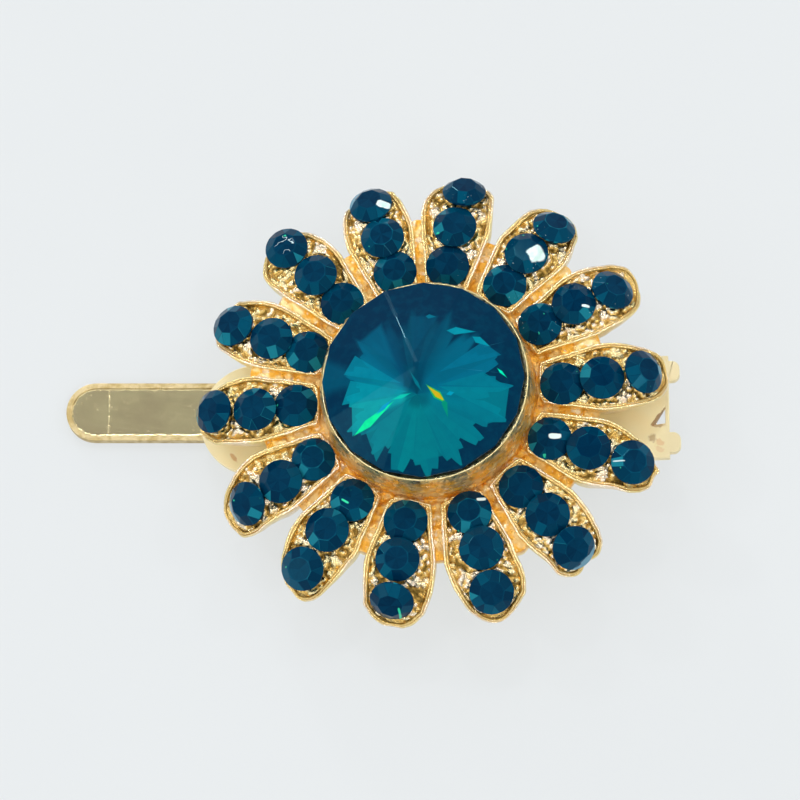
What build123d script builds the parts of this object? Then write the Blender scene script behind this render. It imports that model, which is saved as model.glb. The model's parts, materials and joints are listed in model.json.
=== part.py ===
"""Hair barrette: a cast flower with a pointed centre stone and forty-two petal stones,
soldered on a sprung clip with a wide upper plate and a long narrow lower jaw.

All sizes are millimetres. X runs along the clip with the tip of the lower jaw towards -X,
Y runs across it and Z is up. The origin is on the flat underside of the lower jaw, on its
centre line, below the middle of the flower. The clip is modelled closed, lying on its jaw.
"""

import os
from math import asin, atan2, cos, degrees, hypot, radians, sin, sqrt, tan

from build123d import *

# Lower jaw: the long strip that slides under the hair
JAW_WIDTH = 5.5
JAW_TIP = 33.9
JAW_TAIL = 20.3
JAW_FLOOR = 0.8
JAW_RIM_HEIGHT = 0.25
JAW_RIM_WIDTH = 0.5
JAW_RIM_END = 8.0
JAW_EDGE = 0.15
THUMB_WIDTH = 7.4
THUMB_LENGTH = 3.1
THUMB_CORNER = 1.2
LUG_THICKNESS = 0.75
LUG_RADIUS = 1.35
LUG_FOOT = 4.05

# Upper plate: the wide sheet that carries the flower
PLATE_TILT = 6.0
PLATE_THICKNESS = 0.8
PLATE_FRONT = 21.6
PLATE_FRONT_RADIUS = 5.2
PLATE_BACK = 21.2
PLATE_BACK_HALF_WIDTH = 4.8
JAW_GAP = 0.15
TAB_LENGTH = 1.0
TAB_INNER = 2.4
TAB_OUTER = 4.3
TAB_CORNER = 0.7
CUT_LENGTH = 1.05
CUT_WIDTH = 1.7
CUT_EDGE = 0.35
CUT_LEAN = 0.15

# Hinge
PIN_BACK = 14.4
PIN_DROP = 3.0
PIN_DIAMETER = 1.2
PIN_HEAD_DIAMETER = 2.2
PIN_HEAD_THICKNESS = 0.5
PIN_PLAY = 0.1
EAR_THICKNESS = 0.8
EAR_RADIUS = 1.9
EAR_LENGTH = 5.2
SIDE_CLEARANCE = 0.1
SPRING_SHEET = 0.3
SPRING_WIDTH = 3.0
SPRING_LOOP_RADIUS = 1.0
SPRING_REACH = 4.9
SPRING_CLEARANCE = 0.06

# Flower casting, measured from the plate's top face at the flower's own axis
FLOWER_OFFSET = 0.35
PETAL_COUNT = 14
FIRST_PETAL_ANGLE = 80.9
SOLDER_GAP = 0.03
RIM_LEVEL = 5.2
RIM_WIDTH = 0.45
FLOOR_DEPTH = 0.5
SHELL_THICKNESS = 1.8
WEB_DROP = 1.0
WEB_GAP = 0.7
WEB_LEAD = 0.1
ROOT_MARGIN = 0.2
TIP_MARGIN = 2.15
PETAL_END_RADIUS = 2.75
PETAL_END_SHARE = 0.45
PETAL_BULGE = 0.25
SHOULDER_LEAD = 0.06
DROOP_LAG = 1.14
DROOP_REACH = 0.94
FOOT_RADIUS = 4.4
FOOT_FLARE = 0.6
CUT_ROOM = 3.0

# Centre stone and its cup
CENTRE_DIAMETER = 18.0
CENTRE_LIFT = 4.0
CENTRE_CROWN = 4.2
CENTRE_GIRDLE = 0.35
CENTRE_PAVILION = 4.3
CENTRE_CULET = 0.1
CENTRE_TABLE = 0.5
CENTRE_SIDES = 16
CUP_WALL = 0.3
CUP_FLARE = 0.25
CUP_STRAIGHT = 0.8
STONE_CLEARANCE = 0.06

# Petal stones
STONE_DIAMETER = 3.95
STONE_TABLE = 2.1
STONE_CROWN = 0.75
STONE_GIRDLE = 0.16
STONE_PAVILION = 1.5
STONE_CULET = 0.3
STONE_STAR = 0.6
STONE_CORNER = 1.02
STONE_SIDES = 8
INNER_ROOM = 0.875
MIDDLE_OVERLAP = 0.34
OUTER_OVERLAP = 0.26
ROW_LIFT = {"inner": -0.08, "middle": 0.27, "outer": -0.49}
ROW_TILT = {"inner": -1.0, "middle": 6.0}

# Each petal's stones were set by hand. The columns are the turn of the petal's row and the
# outward tilt of its outer stone in degrees, then how far each stone sits along and across
# the petal from its even place: outer, middle, inner.
SETTING = [
    (0.0, 35, (0.3, -0.1), (0.3, 0.1), (0.2, 0.2)),
    (0.0, 34, (0.0, -0.5), (0.1, 0.0), (0.2, 0.0)),
    (1.0, 31, (-0.2, -0.4), (-0.2, 0.1), (-0.1, 0.2)),
    (0.0, 39, (0.1, 0.2), (0.1, -0.2), (0.1, -0.3)),
    (0.0, 18, (0.2, 0.4), (-0.1, 0.1), (-0.1, -0.2)),
    (0.0, 38, (0.2, -0.3), (0.3, 0.0), (0.3, 0.1)),
    (1.2, 22, (0.0, -0.3), (-0.2, 0.1), (-0.1, 0.1)),
    (0.0, 50, (0.0, -0.2), (0.1, -0.2), (0.1, -0.1)),
    (0.0, 22, (0.2, -0.2), (-0.1, -0.2), (0.0, 0.0)),
    (1.2, 36, (-0.2, 0.0), (-0.1, 0.1), (0.0, -0.2)),
    (0.0, 30, (0.4, -0.3), (0.2, 0.1), (0.1, 0.0)),
    (0.0, 20, (0.1, 0.1), (-0.2, 0.2), (-0.1, 0.2)),
    (0.0, 8, (0.3, 0.0), (-0.1, -0.1), (-0.1, -0.1)),
    (-0.8, 23, (-0.1, 0.2), (-0.1, 0.0), (0.1, -0.2)),
]

# Worked-out places
SIDE_PLAY = PLATE_BACK_HALF_WIDTH - EAR_THICKNESS - JAW_WIDTH / 2 - SIDE_CLEARANCE
TILT_SIN, TILT_COS = sin(radians(PLATE_TILT)), cos(radians(PLATE_TILT))
PLATE_LEVEL = (
    JAW_FLOOR
    + JAW_RIM_HEIGHT
    + JAW_GAP
    + PLATE_FRONT * TILT_SIN
    + PLATE_THICKNESS * TILT_COS
)
PIN_X = PIN_BACK * TILT_COS + PIN_DROP * TILT_SIN
PIN_Z = PLATE_LEVEL + PIN_BACK * TILT_SIN - PIN_DROP * TILT_COS
PLATE = Plane(
    origin=(0, -SIDE_PLAY, PLATE_LEVEL),
    x_dir=(TILT_COS, 0, TILT_SIN),
    z_dir=(-TILT_SIN, 0, TILT_COS),
)


def on_plate(x, y, z):
    """A point of the tilted plate's own frame, in the part's frame."""
    return PLATE.origin + PLATE.x_dir * x + PLATE.y_dir * y + PLATE.z_dir * z


ROSETTE = Plane(
    origin=on_plate(0, FLOWER_OFFSET, 0), x_dir=PLATE.x_dir, z_dir=PLATE.z_dir
)
SECTION = Plane(origin=ROSETTE.origin, x_dir=ROSETTE.x_dir, z_dir=-ROSETTE.y_dir)
HUB_AXIS = Axis(ROSETTE.origin, ROSETTE.z_dir)
GIRDLE_LEVEL = RIM_LEVEL + CENTRE_LIFT
PETAL_STEP = 360 / PETAL_COUNT
INNER_ROW = (CENTRE_DIAMETER + STONE_DIAMETER) / 2 + INNER_ROOM
MIDDLE_ROW = INNER_ROW + STONE_DIAMETER - MIDDLE_OVERLAP
OUTER_ROW = MIDDLE_ROW + STONE_DIAMETER - OUTER_OVERLAP
ROW_RADIUS = {"inner": INNER_ROW, "middle": MIDDLE_ROW, "outer": OUTER_ROW}
PETAL_ROOT = CENTRE_DIAMETER / 2 + ROOT_MARGIN
PETAL_SHOULDER = MIDDLE_ROW - SHOULDER_LEAD
PETAL_TIP = OUTER_ROW + TIP_MARGIN
DROOP_START = MIDDLE_ROW + DROOP_LAG
DROOP_RADIUS = (PETAL_TIP - DROOP_START) / DROOP_REACH
WEB_RADIUS = PETAL_SHOULDER - WEB_LEAD

os.makedirs("parts", exist_ok=True)


def write(part, label):
    """Label one finished piece and write it to its own file."""
    part.label = label
    export_step(part, f"parts/{label}.step")


def side_plane(x, y, z):
    """A plane across the clip, seen from its side, with X to the back and Z up."""
    return Plane(origin=(x, y, z), x_dir=(1, 0, 0), z_dir=(0, -1, 0))


# Lower jaw
def jaw_outline(inset):
    """Strip with a round tip, inset evenly; it draws into the open sketch."""
    half = JAW_WIDTH / 2 - inset
    tip = -JAW_TIP + inset + half
    with Locations(((tip + JAW_RIM_END) / 2, 0)):
        Rectangle(JAW_RIM_END - tip, 2 * half)
    with Locations((tip, 0)):
        Circle(half)


with BuildPart() as lower_jaw:
    with BuildSketch():
        jaw_outline(0)
        with Locations(((JAW_RIM_END + JAW_TAIL - THUMB_LENGTH / 2) / 2, 0)):
            Rectangle(JAW_TAIL - THUMB_LENGTH / 2 - JAW_RIM_END, JAW_WIDTH)
        with Locations((JAW_TAIL - THUMB_LENGTH / 2, 0)):
            RectangleRounded(THUMB_LENGTH, THUMB_WIDTH, THUMB_CORNER)
    extrude(amount=JAW_FLOOR)
    with BuildSketch(Plane.XY.offset(JAW_FLOOR)):
        jaw_outline(0)
        with BuildSketch(mode=Mode.SUBTRACT):
            jaw_outline(JAW_RIM_WIDTH)
            with Locations((JAW_RIM_END, 0)):
                Rectangle(JAW_RIM_WIDTH, JAW_WIDTH - 2 * JAW_RIM_WIDTH)
    extrude(amount=JAW_RIM_HEIGHT)
    for side in (-1, 1):
        lug_face = side * JAW_WIDTH / 2 - (LUG_THICKNESS if side > 0 else 0)
        with BuildSketch(side_plane(PIN_X, lug_face, 0)):
            with Locations((0, PIN_Z)):
                Circle(LUG_RADIUS)
            with Locations((0, JAW_FLOOR / 2)):
                Rectangle(LUG_FOOT, JAW_FLOOR)
            make_hull()
        extrude(amount=-LUG_THICKNESS)
    with BuildSketch(side_plane(PIN_X, 0, PIN_Z)):
        Circle(PIN_DIAMETER / 2 + PIN_PLAY)
    extrude(amount=JAW_WIDTH, both=True, mode=Mode.SUBTRACT)
    chamfer(lower_jaw.faces().sort_by(Axis.Z)[0].outer_wire().edges(), JAW_EDGE)

# Upper plate with its folded ears and forked back end
front_centre = -PLATE_FRONT + PLATE_FRONT_RADIUS
with BuildPart() as upper_plate:
    with BuildSketch(PLATE):
        with BuildLine():
            Polyline(
                (front_centre, -PLATE_FRONT_RADIUS),
                (PLATE_BACK, -PLATE_BACK_HALF_WIDTH),
                (PLATE_BACK, PLATE_BACK_HALF_WIDTH),
                (front_centre, PLATE_FRONT_RADIUS),
            )
            ThreePointArc(
                (front_centre, PLATE_FRONT_RADIUS),
                (-PLATE_FRONT, 0),
                (front_centre, -PLATE_FRONT_RADIUS),
            )
        make_face()
        for side in (-1, 1):
            with Locations((PLATE_BACK, side * (TAB_INNER + TAB_OUTER) / 2)):
                RectangleRounded(2 * TAB_LENGTH, TAB_OUTER - TAB_INNER, TAB_CORNER)
        with BuildLine():
            cut_back = PLATE_BACK - CUT_EDGE
            Polyline(
                (cut_back, 0),
                (cut_back - CUT_LENGTH, -CUT_WIDTH),
                (cut_back, -CUT_WIDTH + CUT_LEAN),
                close=True,
            )
        make_face(mode=Mode.SUBTRACT)
    extrude(amount=-PLATE_THICKNESS)
    for side in (-1, 1):
        inner = side * (PLATE_BACK_HALF_WIDTH - EAR_THICKNESS)
        ear_plane = Plane(
            origin=on_plate(PIN_BACK, inner, -PIN_DROP),
            x_dir=PLATE.x_dir,
            z_dir=PLATE.y_dir * side,
        )
        with BuildSketch(ear_plane):
            Circle(EAR_RADIUS)
            with Locations((0, -side * (PIN_DROP - PLATE_THICKNESS / 2))):
                Rectangle(EAR_LENGTH, PLATE_THICKNESS / 2)
            make_hull()
        extrude(amount=EAR_THICKNESS)
    with BuildSketch(side_plane(PIN_X, -SIDE_PLAY, PIN_Z)):
        Circle(PIN_DIAMETER / 2 + PIN_PLAY / 2)
    extrude(amount=2 * PLATE_BACK_HALF_WIDTH, both=True, mode=Mode.SUBTRACT)

# Hinge pin with riveted heads
with BuildPart() as hinge_pin:
    head_face = PLATE_BACK_HALF_WIDTH + SPRING_CLEARANCE
    with BuildSketch(side_plane(PIN_X, -SIDE_PLAY, PIN_Z)):
        Circle(PIN_DIAMETER / 2)
    extrude(amount=head_face + PIN_HEAD_THICKNESS, both=True)
    for side in (-1, 1):
        with BuildSketch(side_plane(PIN_X, -SIDE_PLAY + side * head_face, PIN_Z)):
            Circle(PIN_HEAD_DIAMETER / 2)
        extrude(amount=-side * PIN_HEAD_THICKNESS)
    outer_rims = hinge_pin.faces().sort_by(Axis.Y)
    chamfer(outer_rims[0].edges() + outer_rims[-1].edges(), PIN_HEAD_THICKNESS / 3)

# Leaf spring: a strip bent round the front of the pin, its two arms pushing the tails apart
plate_under = PLATE_LEVEL - PLATE_THICKNESS / TILT_COS
arm_x = PIN_X + SPRING_REACH
arm_inset = SPRING_SHEET / 2 + SPRING_CLEARANCE
upper_rise = plate_under + arm_x * tan(radians(PLATE_TILT)) - arm_inset - SPRING_CLEARANCE - PIN_Z
lower_drop = PIN_Z - JAW_FLOOR - arm_inset


def arm(rise):
    """Length and slope, in degrees, of an arm tangent to the spring's loop."""
    reach = hypot(SPRING_REACH, rise)
    length = sqrt(reach**2 - SPRING_LOOP_RADIUS**2)
    return length, degrees(atan2(rise, SPRING_REACH) - asin(SPRING_LOOP_RADIUS / reach))


upper_length, upper_slope = arm(upper_rise)
lower_length, lower_slope = arm(lower_drop)
with BuildPart() as spring:
    with BuildSketch(side_plane(PIN_X, 0, PIN_Z)):
        with BuildLine():
            loop = CenterArc(
                (0, 0), SPRING_LOOP_RADIUS, 90 + upper_slope, 180 - upper_slope - lower_slope
            )
            PolarLine(loop @ 0, upper_length, upper_slope)
            PolarLine(loop @ 1, lower_length, -lower_slope)
        trace(line_width=SPRING_SHEET)
    extrude(amount=SPRING_WIDTH / 2, both=True)

# Petal stone: an octagonal table, eight main facets and a sixteen-sided girdle
with BuildPart() as petal_stone:
    half_girdle = STONE_GIRDLE / 2
    with BuildSketch(Plane.XY.offset(half_girdle)):
        RegularPolygon(STONE_DIAMETER / 2 * STONE_CORNER, STONE_SIDES)
    with BuildSketch(Plane.XY.offset(half_girdle + STONE_CROWN)):
        RegularPolygon(STONE_TABLE / 2, STONE_SIDES)
    loft(ruled=True)
    with BuildSketch(Plane.XY.offset(-half_girdle)):
        RegularPolygon(STONE_DIAMETER / 2 * STONE_CORNER, STONE_SIDES)
    extrude(amount=STONE_GIRDLE)
    with BuildSketch(Plane.XY.offset(-half_girdle)):
        RegularPolygon(STONE_DIAMETER / 2 * STONE_CORNER, STONE_SIDES)
    with BuildSketch(Plane.XY.offset(-half_girdle - STONE_PAVILION)):
        RegularPolygon(STONE_CULET / 2, STONE_SIDES)
    loft(ruled=True)
    with BuildSketch(Plane.XY.offset(-half_girdle - STONE_PAVILION)):
        RegularPolygon(STONE_DIAMETER / 2, 2 * STONE_SIDES)
    with BuildSketch(Plane.XY.offset(half_girdle)):
        RegularPolygon(STONE_DIAMETER / 2, 2 * STONE_SIDES)
    with BuildSketch(Plane.XY.offset(half_girdle + STONE_CROWN)):
        RegularPolygon(STONE_DIAMETER / 2 - STONE_STAR, 2 * STONE_SIDES)
    loft(ruled=True, mode=Mode.INTERSECT)

# Seat cutter: the room of one petal stone and the clear way above it
with BuildPart() as seat:
    with BuildSketch(Plane.XZ):
        with BuildLine():
            seat_radius = STONE_DIAMETER / 2 + STONE_CLEARANCE
            Polyline(
                (0, -half_girdle - STONE_PAVILION - STONE_CLEARANCE),
                (STONE_CULET / 2, -half_girdle - STONE_PAVILION - STONE_CLEARANCE),
                (seat_radius, -half_girdle - STONE_CLEARANCE),
                (seat_radius, CUT_ROOM),
                (0, CUT_ROOM),
                close=True,
            )
        make_face()
    revolve(axis=Axis.Z)


def stone_location(petal, row):
    """Place of one petal stone: on its petal's axis, leaning outwards by its tilt."""
    turn, outer_tilt, outer, middle, inner = SETTING[petal]
    along, across = {"outer": outer, "middle": middle, "inner": inner}[row]
    angle = FIRST_PETAL_ANGLE - petal * PETAL_STEP + turn
    tilt = outer_tilt if row == "outer" else ROW_TILT[row]
    spot = Location((ROW_RADIUS[row] + along, across, RIM_LEVEL + ROW_LIFT[row]))
    spin = Location((0, 0, 0), (0, 0, 17 * petal + 23 * len(row)))
    lean = Location((0, 0, 0), (0, tilt, 0))
    return ROSETTE.location * Location((0, 0, 0), (0, 0, angle)) * spot * lean * spin


STONE_PLACES = {
    f"petal_{petal + 1:02d}_stone_{row}": stone_location(petal, row)
    for petal in range(PETAL_COUNT)
    for row in ("inner", "middle", "outer")
}


# Flower casting
def petal_outline(inset):
    """Outline of one petal along the X axis, inset evenly."""
    slope = tan(radians(PETAL_STEP / 2))
    root_half = PETAL_ROOT * slope - WEB_GAP / 2 - inset
    shoulder_half = PETAL_SHOULDER * slope - WEB_GAP / 2 - inset
    end_radius = PETAL_END_RADIUS - inset
    end_centre = PETAL_TIP - PETAL_END_RADIUS
    join_x = end_centre + end_radius * PETAL_END_SHARE
    join_y = end_radius * sqrt(1 - PETAL_END_SHARE**2)
    bulge_x = (PETAL_SHOULDER + join_x) / 2
    bulge_y = (shoulder_half + join_y) / 2 + PETAL_BULGE
    with BuildSketch() as outline:
        with BuildLine():
            Polyline(
                (PETAL_SHOULDER, -shoulder_half),
                (PETAL_ROOT, -root_half),
                (PETAL_ROOT, root_half),
                (PETAL_SHOULDER, shoulder_half),
            )
            ThreePointArc((PETAL_SHOULDER, shoulder_half), (bulge_x, bulge_y), (join_x, join_y))
            ThreePointArc((join_x, join_y), (end_centre + end_radius, 0), (join_x, -join_y))
            ThreePointArc((join_x, -join_y), (bulge_x, -bulge_y), (PETAL_SHOULDER, -shoulder_half))
        make_face()
    return outline.sketch


def drooping_shell(depth_top, depth_bottom, start):
    """Section of a ring that runs level and then droops: depths below the rim's top."""
    end_angle = asin(DROOP_REACH)

    def on_arc(depth, angle):
        radius = DROOP_RADIUS - depth
        return (
            DROOP_START + radius * sin(angle),
            RIM_LEVEL - DROOP_RADIUS + radius * cos(angle),
        )

    with BuildSketch() as section:
        with BuildLine():
            ThreePointArc(
                on_arc(depth_top, 0),
                on_arc(depth_top, end_angle / 2),
                on_arc(depth_top, end_angle),
            )
            Line(on_arc(depth_top, end_angle), on_arc(depth_bottom, end_angle))
            ThreePointArc(
                on_arc(depth_bottom, end_angle),
                on_arc(depth_bottom, end_angle / 2),
                on_arc(depth_bottom, 0),
            )
            Polyline(
                on_arc(depth_bottom, 0),
                (start, RIM_LEVEL - depth_bottom),
                (start, RIM_LEVEL - depth_top),
                on_arc(depth_top, 0),
            )
        make_face()
    return section.sketch


petal_full = petal_outline(0)
petal_hollow = petal_outline(RIM_WIDTH)

with BuildPart() as petal_pockets:
    with BuildSketch(SECTION):
        add(drooping_shell(-CUT_ROOM / 3, FLOOR_DEPTH, PETAL_ROOT))
    revolve(axis=HUB_AXIS)
    with BuildSketch(ROSETTE.offset(-1)):
        with PolarLocations(0, PETAL_COUNT, start_angle=FIRST_PETAL_ANGLE):
            add(petal_hollow)
    extrude(amount=RIM_LEVEL + CUT_ROOM, mode=Mode.INTERSECT)

cup_top_radius = CENTRE_DIAMETER / 2 + STONE_CLEARANCE
with BuildPart() as flower_casting:
    with BuildSketch(SECTION):
        add(drooping_shell(0, SHELL_THICKNESS, PETAL_ROOT - 1))
    revolve(axis=HUB_AXIS)
    with BuildSketch(ROSETTE.offset(-1)):
        with PolarLocations(0, PETAL_COUNT, start_angle=FIRST_PETAL_ANGLE):
            add(petal_full)
        Circle(PETAL_ROOT + 0.2)
    extrude(amount=RIM_LEVEL + CUT_ROOM, mode=Mode.INTERSECT)
    add(petal_pockets.part, mode=Mode.SUBTRACT)
    with BuildSketch(SECTION):
        with BuildLine():
            Polyline(
                (0, SOLDER_GAP),
                (FOOT_RADIUS, SOLDER_GAP),
                (FOOT_RADIUS, RIM_LEVEL - SHELL_THICKNESS - FOOT_FLARE),
                (FOOT_RADIUS + FOOT_FLARE, RIM_LEVEL - SHELL_THICKNESS),
                (WEB_RADIUS, RIM_LEVEL - SHELL_THICKNESS),
                (WEB_RADIUS, RIM_LEVEL - WEB_DROP),
                (cup_top_radius + CUP_WALL + CUP_FLARE, RIM_LEVEL - WEB_DROP),
                (cup_top_radius + CUP_WALL, GIRDLE_LEVEL - CUP_STRAIGHT),
                (cup_top_radius + CUP_WALL, GIRDLE_LEVEL + CENTRE_GIRDLE / 2),
                (0, GIRDLE_LEVEL + CENTRE_GIRDLE / 2),
                close=True,
            )
        make_face()
    revolve(axis=HUB_AXIS)
    with BuildSketch(SECTION):
        with BuildLine():
            seat_level = GIRDLE_LEVEL - CENTRE_GIRDLE / 2 - STONE_CLEARANCE
            Polyline(
                (0, seat_level - CENTRE_PAVILION),
                (cup_top_radius, seat_level),
                (cup_top_radius, GIRDLE_LEVEL + CUT_ROOM),
                (0, GIRDLE_LEVEL + CUT_ROOM),
                close=True,
            )
        make_face()
    revolve(axis=HUB_AXIS, mode=Mode.SUBTRACT)
    with Locations(*STONE_PLACES.values()):
        add(seat.part, mode=Mode.SUBTRACT)

# Centre stone: a low pointed crown and a pointed back, both cut in straight facets
with BuildPart() as centre_stone:
    crown_level = GIRDLE_LEVEL + CENTRE_GIRDLE / 2
    back_level = GIRDLE_LEVEL - CENTRE_GIRDLE / 2
    with BuildSketch(ROSETTE.offset(crown_level)):
        RegularPolygon(CENTRE_DIAMETER / 2, CENTRE_SIDES)
    with BuildSketch(ROSETTE.offset(crown_level + CENTRE_CROWN)):
        RegularPolygon(CENTRE_TABLE / 2, CENTRE_SIDES)
    loft(ruled=True)
    with BuildSketch(ROSETTE.offset(back_level)):
        RegularPolygon(CENTRE_DIAMETER / 2, CENTRE_SIDES)
    extrude(amount=CENTRE_GIRDLE)
    with BuildSketch(ROSETTE.offset(back_level)):
        RegularPolygon(CENTRE_DIAMETER / 2, CENTRE_SIDES)
    with BuildSketch(ROSETTE.offset(back_level - CENTRE_PAVILION + CENTRE_CULET)):
        RegularPolygon(CENTRE_TABLE / 2, CENTRE_SIDES)
    loft(ruled=True)

write(lower_jaw.part, "lower_jaw")
write(upper_plate.part, "upper_plate")
write(hinge_pin.part, "hinge_pin")
write(spring.part, "spring")
write(flower_casting.part, "flower_casting")
write(centre_stone.part, "centre_stone")
for stone_name, place in STONE_PLACES.items():
    with BuildPart() as set_stone:
        with Locations(place):
            add(petal_stone.part)
    write(set_stone.part, stone_name)
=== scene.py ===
# %% [markdown]
# # A flower hair barrette
# A cast gold flower with a pointed centre stone and three small stones on every petal, soldered on
# a sprung hair clip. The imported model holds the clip, the stones' places and the hinge. This
# notebook gives each of them its finish, and models what the plain solids leave out: the fine
# double ridges of the petals' rims, their pebbled floors, the cut of the small stones and the
# grainy cup of the centre stone.

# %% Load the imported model
import json
import random
from math import acos, asin, atan2, cos, hypot, pi, radians, sin, sqrt, tan

import bpy
from mathutils import Matrix, Vector, noise


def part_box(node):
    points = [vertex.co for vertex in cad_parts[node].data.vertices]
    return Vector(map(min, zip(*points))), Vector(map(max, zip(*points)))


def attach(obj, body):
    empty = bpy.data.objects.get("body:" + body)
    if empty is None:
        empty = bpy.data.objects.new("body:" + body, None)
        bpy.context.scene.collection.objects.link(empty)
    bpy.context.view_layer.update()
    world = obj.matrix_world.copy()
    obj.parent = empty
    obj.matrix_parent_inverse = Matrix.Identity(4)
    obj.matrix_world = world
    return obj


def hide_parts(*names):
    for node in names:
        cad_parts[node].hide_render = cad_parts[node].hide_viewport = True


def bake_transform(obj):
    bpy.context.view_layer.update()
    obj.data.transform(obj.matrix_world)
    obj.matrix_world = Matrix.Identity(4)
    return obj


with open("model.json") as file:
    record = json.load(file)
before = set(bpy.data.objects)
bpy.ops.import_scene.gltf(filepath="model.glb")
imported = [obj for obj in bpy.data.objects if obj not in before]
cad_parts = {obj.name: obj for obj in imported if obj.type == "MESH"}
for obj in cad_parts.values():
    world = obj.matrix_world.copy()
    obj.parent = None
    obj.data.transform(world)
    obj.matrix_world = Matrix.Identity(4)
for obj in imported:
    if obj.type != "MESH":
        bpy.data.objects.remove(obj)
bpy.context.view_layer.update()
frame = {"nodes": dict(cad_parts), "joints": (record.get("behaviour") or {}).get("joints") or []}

# %% [markdown]
# ## Sizes and places
# The flower is drawn in millimetres in its own frame, with Z along the flower's axis and zero on
# the clip plate's top face, because a petal is easier to shape lying flat. A matrix then shrinks it
# to metres and lays it on the plate, which slopes down towards the front. The hinge gives the
# plate's place: its pin lies a known way back along the plate and a known drop below it.

# %% The flower's own frame
MM = 0.001
PLATE_TILT = radians(6)
PIN_BACK = 14.4
PIN_DROP = 3.0
RIM_LEVEL = 5.2
PETAL_COUNT = 14
FIRST_PETAL_ANGLE = radians(80.9)

along_plate = Vector((cos(PLATE_TILT), 0, sin(PLATE_TILT)))
off_plate = Vector((-sin(PLATE_TILT), 0, cos(PLATE_TILT)))
pin = Vector(frame["joints"][0]["pos_m"])
stone_low, stone_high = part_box("centre_stone")
plate_origin = pin - along_plate * PIN_BACK * MM + off_plate * PIN_DROP * MM
plate_origin.y = (stone_low.y + stone_high.y) / 2
FLOWER = Matrix.Translation(plate_origin) @ Matrix.Rotation(-PLATE_TILT, 4, "Y") @ Matrix.Scale(MM, 4)


def petal_frame(petal):
    """Matrix of one petal: X out along its middle line, Z up. Petal 0 is the first."""
    turn = FIRST_PETAL_ANGLE - petal * 2 * pi / PETAL_COUNT
    return FLOWER @ Matrix.Rotation(turn, 4, "Z")


print("flower's foot, mm:", [round(1000 * side, 2) for side in FLOWER.translation])

# %% [markdown]
# ## Camera
# The photograph looks down steeply from the clip's side, with the clip's length across the picture.
# The camera stands a hand's reach away and aims just beside the flower's axis.

# %% Camera
VIEW_AZIMUTH = radians(3.46)
VIEW_ELEVATION = radians(72.69)
CAMERA_DISTANCE = 0.3
PICTURE_WIDTH = 0.07143
AIM_ACROSS = -2.53 * MM
AIM_UP = -0.64 * MM
SENSOR_WIDTH = 36

backward = Vector(
    (
        sin(VIEW_AZIMUTH) * cos(VIEW_ELEVATION),
        -cos(VIEW_AZIMUTH) * cos(VIEW_ELEVATION),
        sin(VIEW_ELEVATION),
    )
)
across = (Vector((1, 0, 0)) - backward * backward.x).normalized()
upward = backward.cross(across)
aim = FLOWER @ Vector((0, 0, RIM_LEVEL)) + across * AIM_ACROSS + upward * AIM_UP
turn = Matrix((across, upward, backward)).transposed()
bpy.ops.object.camera_add(location=aim + backward * CAMERA_DISTANCE, rotation=turn.to_euler())
camera = bpy.context.object
camera.data.sensor_width = SENSOR_WIDTH
camera.data.lens = SENSOR_WIDTH * CAMERA_DISTANCE / PICTURE_WIDTH
camera.data.clip_start = 0.01
bpy.context.scene.camera = camera
print("lens, mm:", round(camera.data.lens, 1))

# %% [markdown]
# ## Shader maths
# A finish is a small sum of patterns. Writing that sum as Python is easier to read than wiring
# nodes, so a Tone wraps one output of a node and turns +, -, * and so on into Math nodes. A Paint
# is the material, and its node() makes every other kind of node.

# %% A number on a surface
class Tone:
    """One output of a node. Sums on it add Math nodes to its paint."""

    def __init__(self, paint, socket):
        self.paint = paint
        self.socket = socket

    def other(self, name):
        """Another output of the same node."""
        return Tone(self.paint, self.socket.node.outputs[name])

    def maths(self, operation, first, second=None):
        return self.paint.node("ShaderNodeMath", {"operation": operation}, first, second)

    def __add__(self, value):
        return self.maths("ADD", self, value)

    def __mul__(self, value):
        return self.maths("MULTIPLY", self, value)

    def __sub__(self, value):
        return self.maths("SUBTRACT", self, value)

    def __rsub__(self, value):
        return self.maths("SUBTRACT", value, self)

    def __truediv__(self, value):
        return self.maths("DIVIDE", self, value)

    def __pow__(self, value):
        return self.maths("POWER", self, value)

    def __mod__(self, value):
        return self.maths("FLOORED_MODULO", self, value)

    def __lt__(self, value):
        return self.maths("LESS_THAN", self, value)

    def __abs__(self):
        return self.maths("ABSOLUTE", self)

    __radd__ = __add__
    __rmul__ = __mul__

    def least(self, value):
        return self.maths("MINIMUM", self, value)

    def most(self, value):
        return self.maths("MAXIMUM", self, value)

    def ease(self, low, high):
        """0 below low, 1 above high and a smooth step between; low may be the larger."""
        smooth = {"interpolation_type": "SMOOTHSTEP"}
        return self.paint.node("ShaderNodeMapRange", smooth, self, low, high)


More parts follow.
